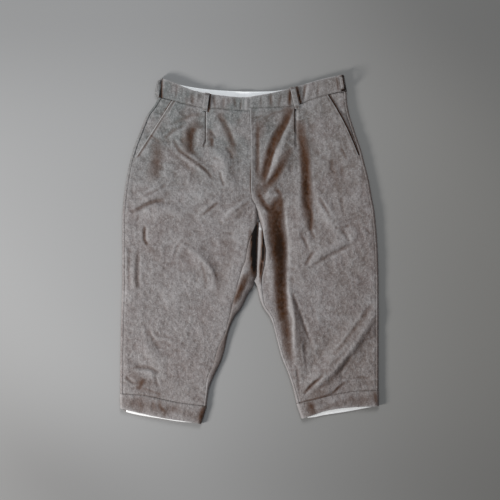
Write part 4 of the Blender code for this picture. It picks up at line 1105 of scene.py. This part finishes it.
# Pocket facings and the shield behind the fly
def addPocketFacing(leg):
    facing = {"rows": 57, "across": 26, "drop": 2.3 * mm, "inward": 28 * mm, "down": 6 * mm}
    rows = np.linspace(0, rowMarks["mouth"], facing["rows"])
    seam, mouth = outseam(leg, rows), mouthEdge(leg, rows)
    end = mouth + np.array([[-leg["sign"] * facing["inward"], -facing["down"]]])
    share = crowded(0, 1, facing["across"])[None, :, None]
    plan = seam[:, None, :] * (1 - share) + end[:, None, :] * share
    plan[0, :, 1] = along(leg["waistSeam"], "x", plan[0, :, 0])
    drop = facing["drop"] + leg["mouthGape"] * np.sin(np.pi * rows / rowMarks["mouth"])
    height = clothTop(leg, plan[..., 0], plan[..., 1]) - cloth["wall"] / 2 - drop[:, None]
    points = raised(plan, height)
    points[..., 2] += 0.25 * mm * cloudy(plan[..., 0], plan[..., 1], 12 * mm, 31)
    rollSeams(points, ("first",), 0.5 * mm)
    drawIn(points, ("top",), cloth["seamGap"])
    drawIn(points, ("first",))
    edge = bell(fromEdge(points, "first"), 3 * mm) * 0.3
    # Painted shadow on the facing: black along the pocket mouth, where the gap under the front's edge is in
    # shade, and over its inner part beneath the front panel
    fromMouth = np.hypot(*np.moveaxis(points[..., :2] - mouth[:, None, :], -1, 0))
    beneath = np.maximum(np.exp(-(fromMouth / leg["mouthShade"]) ** 4),
                         (share[..., 0] * np.ones((len(rows), 1)) > 0.8) * 1.0)
    piece = addPiece("pocketFacing" + leg["name"], [points], "wall",
                     wearAndHighlight=[edge], shadeAndBrowning=[beneath])
    lay("pocket_facing_" + leg["name"].lower(), (0.075, 0.155), ["back" + leg["name"]], 0.0085)


def addFlyUnderlap():
    shield = {"end": 150 * mm, "rows": 50, "from": -10, "to": 40, "across": 18}
    y = np.linspace(rightLeg["centreRows"][0] - 1 * mm, shield["end"], shield["rows"])
    x = along(centreFront, "y", y)[:, None] + np.linspace(shield["from"], shield["to"], shield["across"]) * mm
    gridY = np.broadcast_to(y[:, None], x.shape)
    top = np.minimum(clothTop(rightLeg, x, gridY), clothTop(leftLeg, x, gridY))
    height = top - 1.5 * cloth["wall"] - 2 * cloth["seamGap"]
    points = np.stack([x, gridY, height], axis=-1)
    piece = addPiece("flyUnderlap", [points], "wall")
    lay("fly_underlap", (0.05, 0.16), ["frontRight"])


# Knee bands and their white facings
def cuffSection(leg, face, fromOuter, share):
    seam = leg["cuffSeam"]
    hem = leg["frontHem"] if face == "front" else leg["backHem"]
    nearest = np.minimum(fromOuter, widthOf(seam) - fromOuter)
    turned = np.sqrt(1 - (1 - np.clip(nearest / cloth["outerFold"], 0, 1)) ** 2)
    return bandFace(leg, face, seam, hem, fromOuter, share, turned)


def addCuff(leg):
    width = widthOf(leg["cuffSeam"])
    grid = {"across": 70, "rows": 14}
    fold = cloth["outerFold"]
    turn = fold * quarterTurn()[0]
    flat = np.linspace(fold, width - fold, grid["across"])[1:-1]
    at, share = np.meshgrid(np.concatenate([turn, flat, width - turn[::-1]]), crowded(0, 1, grid["rows"]))
    front = cuffSection(leg, "front", at, share)
    back = cuffSection(leg, "back", at, share)
    slack = easy(np.minimum(at, width - at) / (14 * mm)) * np.sin(np.pi * np.clip(share, 0.03, 1)) ** 0.4
    front[..., 2] += 1.1 * mm * slack * (cloudy(at + 20 * mm * share, share * 20 * mm, 17 * mm, 41)
                                         + 0.4 * cloudy(at, share * 26 * mm, 7 * mm, 42))
    rollSeams(front, ("top",), 0.8 * mm)
    ring = np.concatenate([front, back[:, -2:0:-1]], axis=1)
    drawIn(ring, ("top",), cloth["seamGap"])
    # Paler along the hem's edge; painted shade and browner patches from the cuff tones, on its front only
    edge = bell(fromEdge(ring, "bottom"), 2.5 * mm) * 0.6
    tone = tracedLift(leg["cuffTones"], ring)
    tone[:, front.shape[1]:] = 0
    piece = addPiece("cuff" + leg["name"], [ring], "band", True,
                     wearAndHighlight=[edge + np.clip(-tone, 0, 1)], shadeAndBrowning=[np.clip(tone, 0, 1)])
    lay("cuff_" + leg["name"].lower(), (2 * width, 0.042), ["floor", "back" + leg["name"]],
        2 * width * 0.034)
    above = cloth["band"] / 2 + cloth["stitchRise"]
    stitchLines.append(sewnLine(front, "top", 2 * mm, above, slice(6, -6)))


def addCuffFacing(leg):
    width = widthOf(leg["cuffSeam"])
    facing = {"in": 13 * mm, "across": 60, "rows": 12, "crumple": 0.2 * mm}
    steps = np.linspace(facing["in"], width - facing["in"], facing["across"])
    at, share = np.meshgrid(steps, np.linspace(0.15, 0.97, facing["rows"]))
    points = cuffSection(leg, "back", at, share)
    points[..., 2] += cloth["band"] / 2 + cloth["seamGap"] + cloth["cotton"] / 2
    points[..., 2] += facing["crumple"] * (cloudy(at, share * 30 * mm, 15 * mm, 51) + 1)
    piece = addPiece("cuffFacing" + leg["name"], [points], "cotton")
    lay("cuff_facing_" + leg["name"].lower(), (width - 2 * facing["in"], 0.032), ["cuff" + leg["name"]])


for leg in (rightLeg, leftLeg):
    addFront(leg)
    addBack(leg)
    addWaistband(leg)
    addPocketFacing(leg)
    addCuff(leg)
    addCuffFacing(leg)
addWaistLining()
addFlyUnderlap()
# Leg, then each loop's distance from the side; the front one's lean and the side one's shade
for leg, front, side, lean, shade in ((rightLeg, 104, 0, 0, 0), (leftLeg, 115, 7, -9, 0.97)):
    word = leg["name"]
    addBeltLoop("beltLoopFront" + word, "belt_loop_front_" + word.lower(), leg, front * mm, 8 * mm, 4.9 * mm,
                lean=lean * mm)
    addBeltLoop("beltLoopSide" + word, "belt_loop_side_" + word.lower(), leg, side * mm, -1 * mm, 6.6 * mm,
                shade=shade)
addBackLoop()
print("cloth pieces")


# Sewing, by Geometry Nodes along the lines gathered above
def stitchTree(finish):
    tree = bpy.data.node_groups.new("stitching", "GeometryNodeTree")
    tree.interface.new_socket("Lines", in_out="INPUT", socket_type="NodeSocketGeometry")
    for name in ("Spacing", "Length", "Width", "Unevenness"):
        tree.interface.new_socket(name, in_out="INPUT", socket_type="NodeSocketFloat")
    tree.interface.new_socket("Stitches", in_out="OUTPUT", socket_type="NodeSocketGeometry")

    def add(kind, values, settings=None):
        return addNode(tree, kind, settings or {}, values).outputs

    given = tree.nodes.new("NodeGroupInput").outputs
    curve = add("GeometryNodeMeshToCurve", {"Mesh": given["Lines"]})["Curve"]
    spaced = add("GeometryNodeResampleCurve", {"Curve": curve, "Length": given["Spacing"]}, {"mode": "LENGTH"})
    tangent = add("GeometryNodeInputTangent", {})["Tangent"]
    turned = add("FunctionNodeAlignRotationToVector", {"Vector": tangent}, {"axis": "X"})["Rotation"]
    sizes = {"X": given["Length"], "Y": given["Width"], "Z": given["Width"]}
    size = add("ShaderNodeCombineXYZ", sizes)["Vector"]
    uneven = add("FunctionNodeRandomValue", {"Min": 0.8, "Max": 1.15, "Seed": 7}, {"data_type": "FLOAT"})
    number = [socket for socket in uneven if socket.enabled][0]
    scaled = add("ShaderNodeVectorMath", {0: size, "Scale": number}, {"operation": "SCALE"})["Vector"]
    drop = add("GeometryNodeMeshUVSphere", {"Segments": 6, "Rings": 4, "Radius": 0.5})["Mesh"]
    placed = add("GeometryNodeInstanceOnPoints", {"Points": spaced["Curve"], "Instance": drop,
                                                  "Rotation": turned, "Scale": scaled})["Instances"]
    real = add("GeometryNodeRealizeInstances", {"Geometry": placed})["Geometry"]
    rounded = add("GeometryNodeSetShadeSmooth", {0: real})[0]
    done = add("GeometryNodeSetMaterial", {"Geometry": rounded, "Material": finish})["Geometry"]
    tree.links.new(done, tree.nodes.new("NodeGroupOutput").inputs["Stitches"])
    return tree


def addStitching():
    sewing = {"Spacing": 3.6 * mm, "Length": 2.8 * mm, "Width": 0.75 * mm}
    mesh = bpy.data.meshes.new("topstitching")
    spots, links = [], []
    for line in stitchLines:
        start = len(spots)
        spots += [tuple(spot) for spot in line]
        links += [(k, k + 1) for k in range(start, len(spots) - 1)]
    mesh.from_pydata(spots, links, [])
    piece = addObject("topstitching", mesh)
    tree = stitchTree(thread)
    sew = piece.modifiers.new("sewing", "NODES")
    sew.node_group = tree
    for item in tree.interface.items_tree:
        if item.in_out == "INPUT" and item.name in sewing:
            sew[item.identifier] = sewing[item.name]
    settle(piece, thread)


addStitching()
print("sewing")
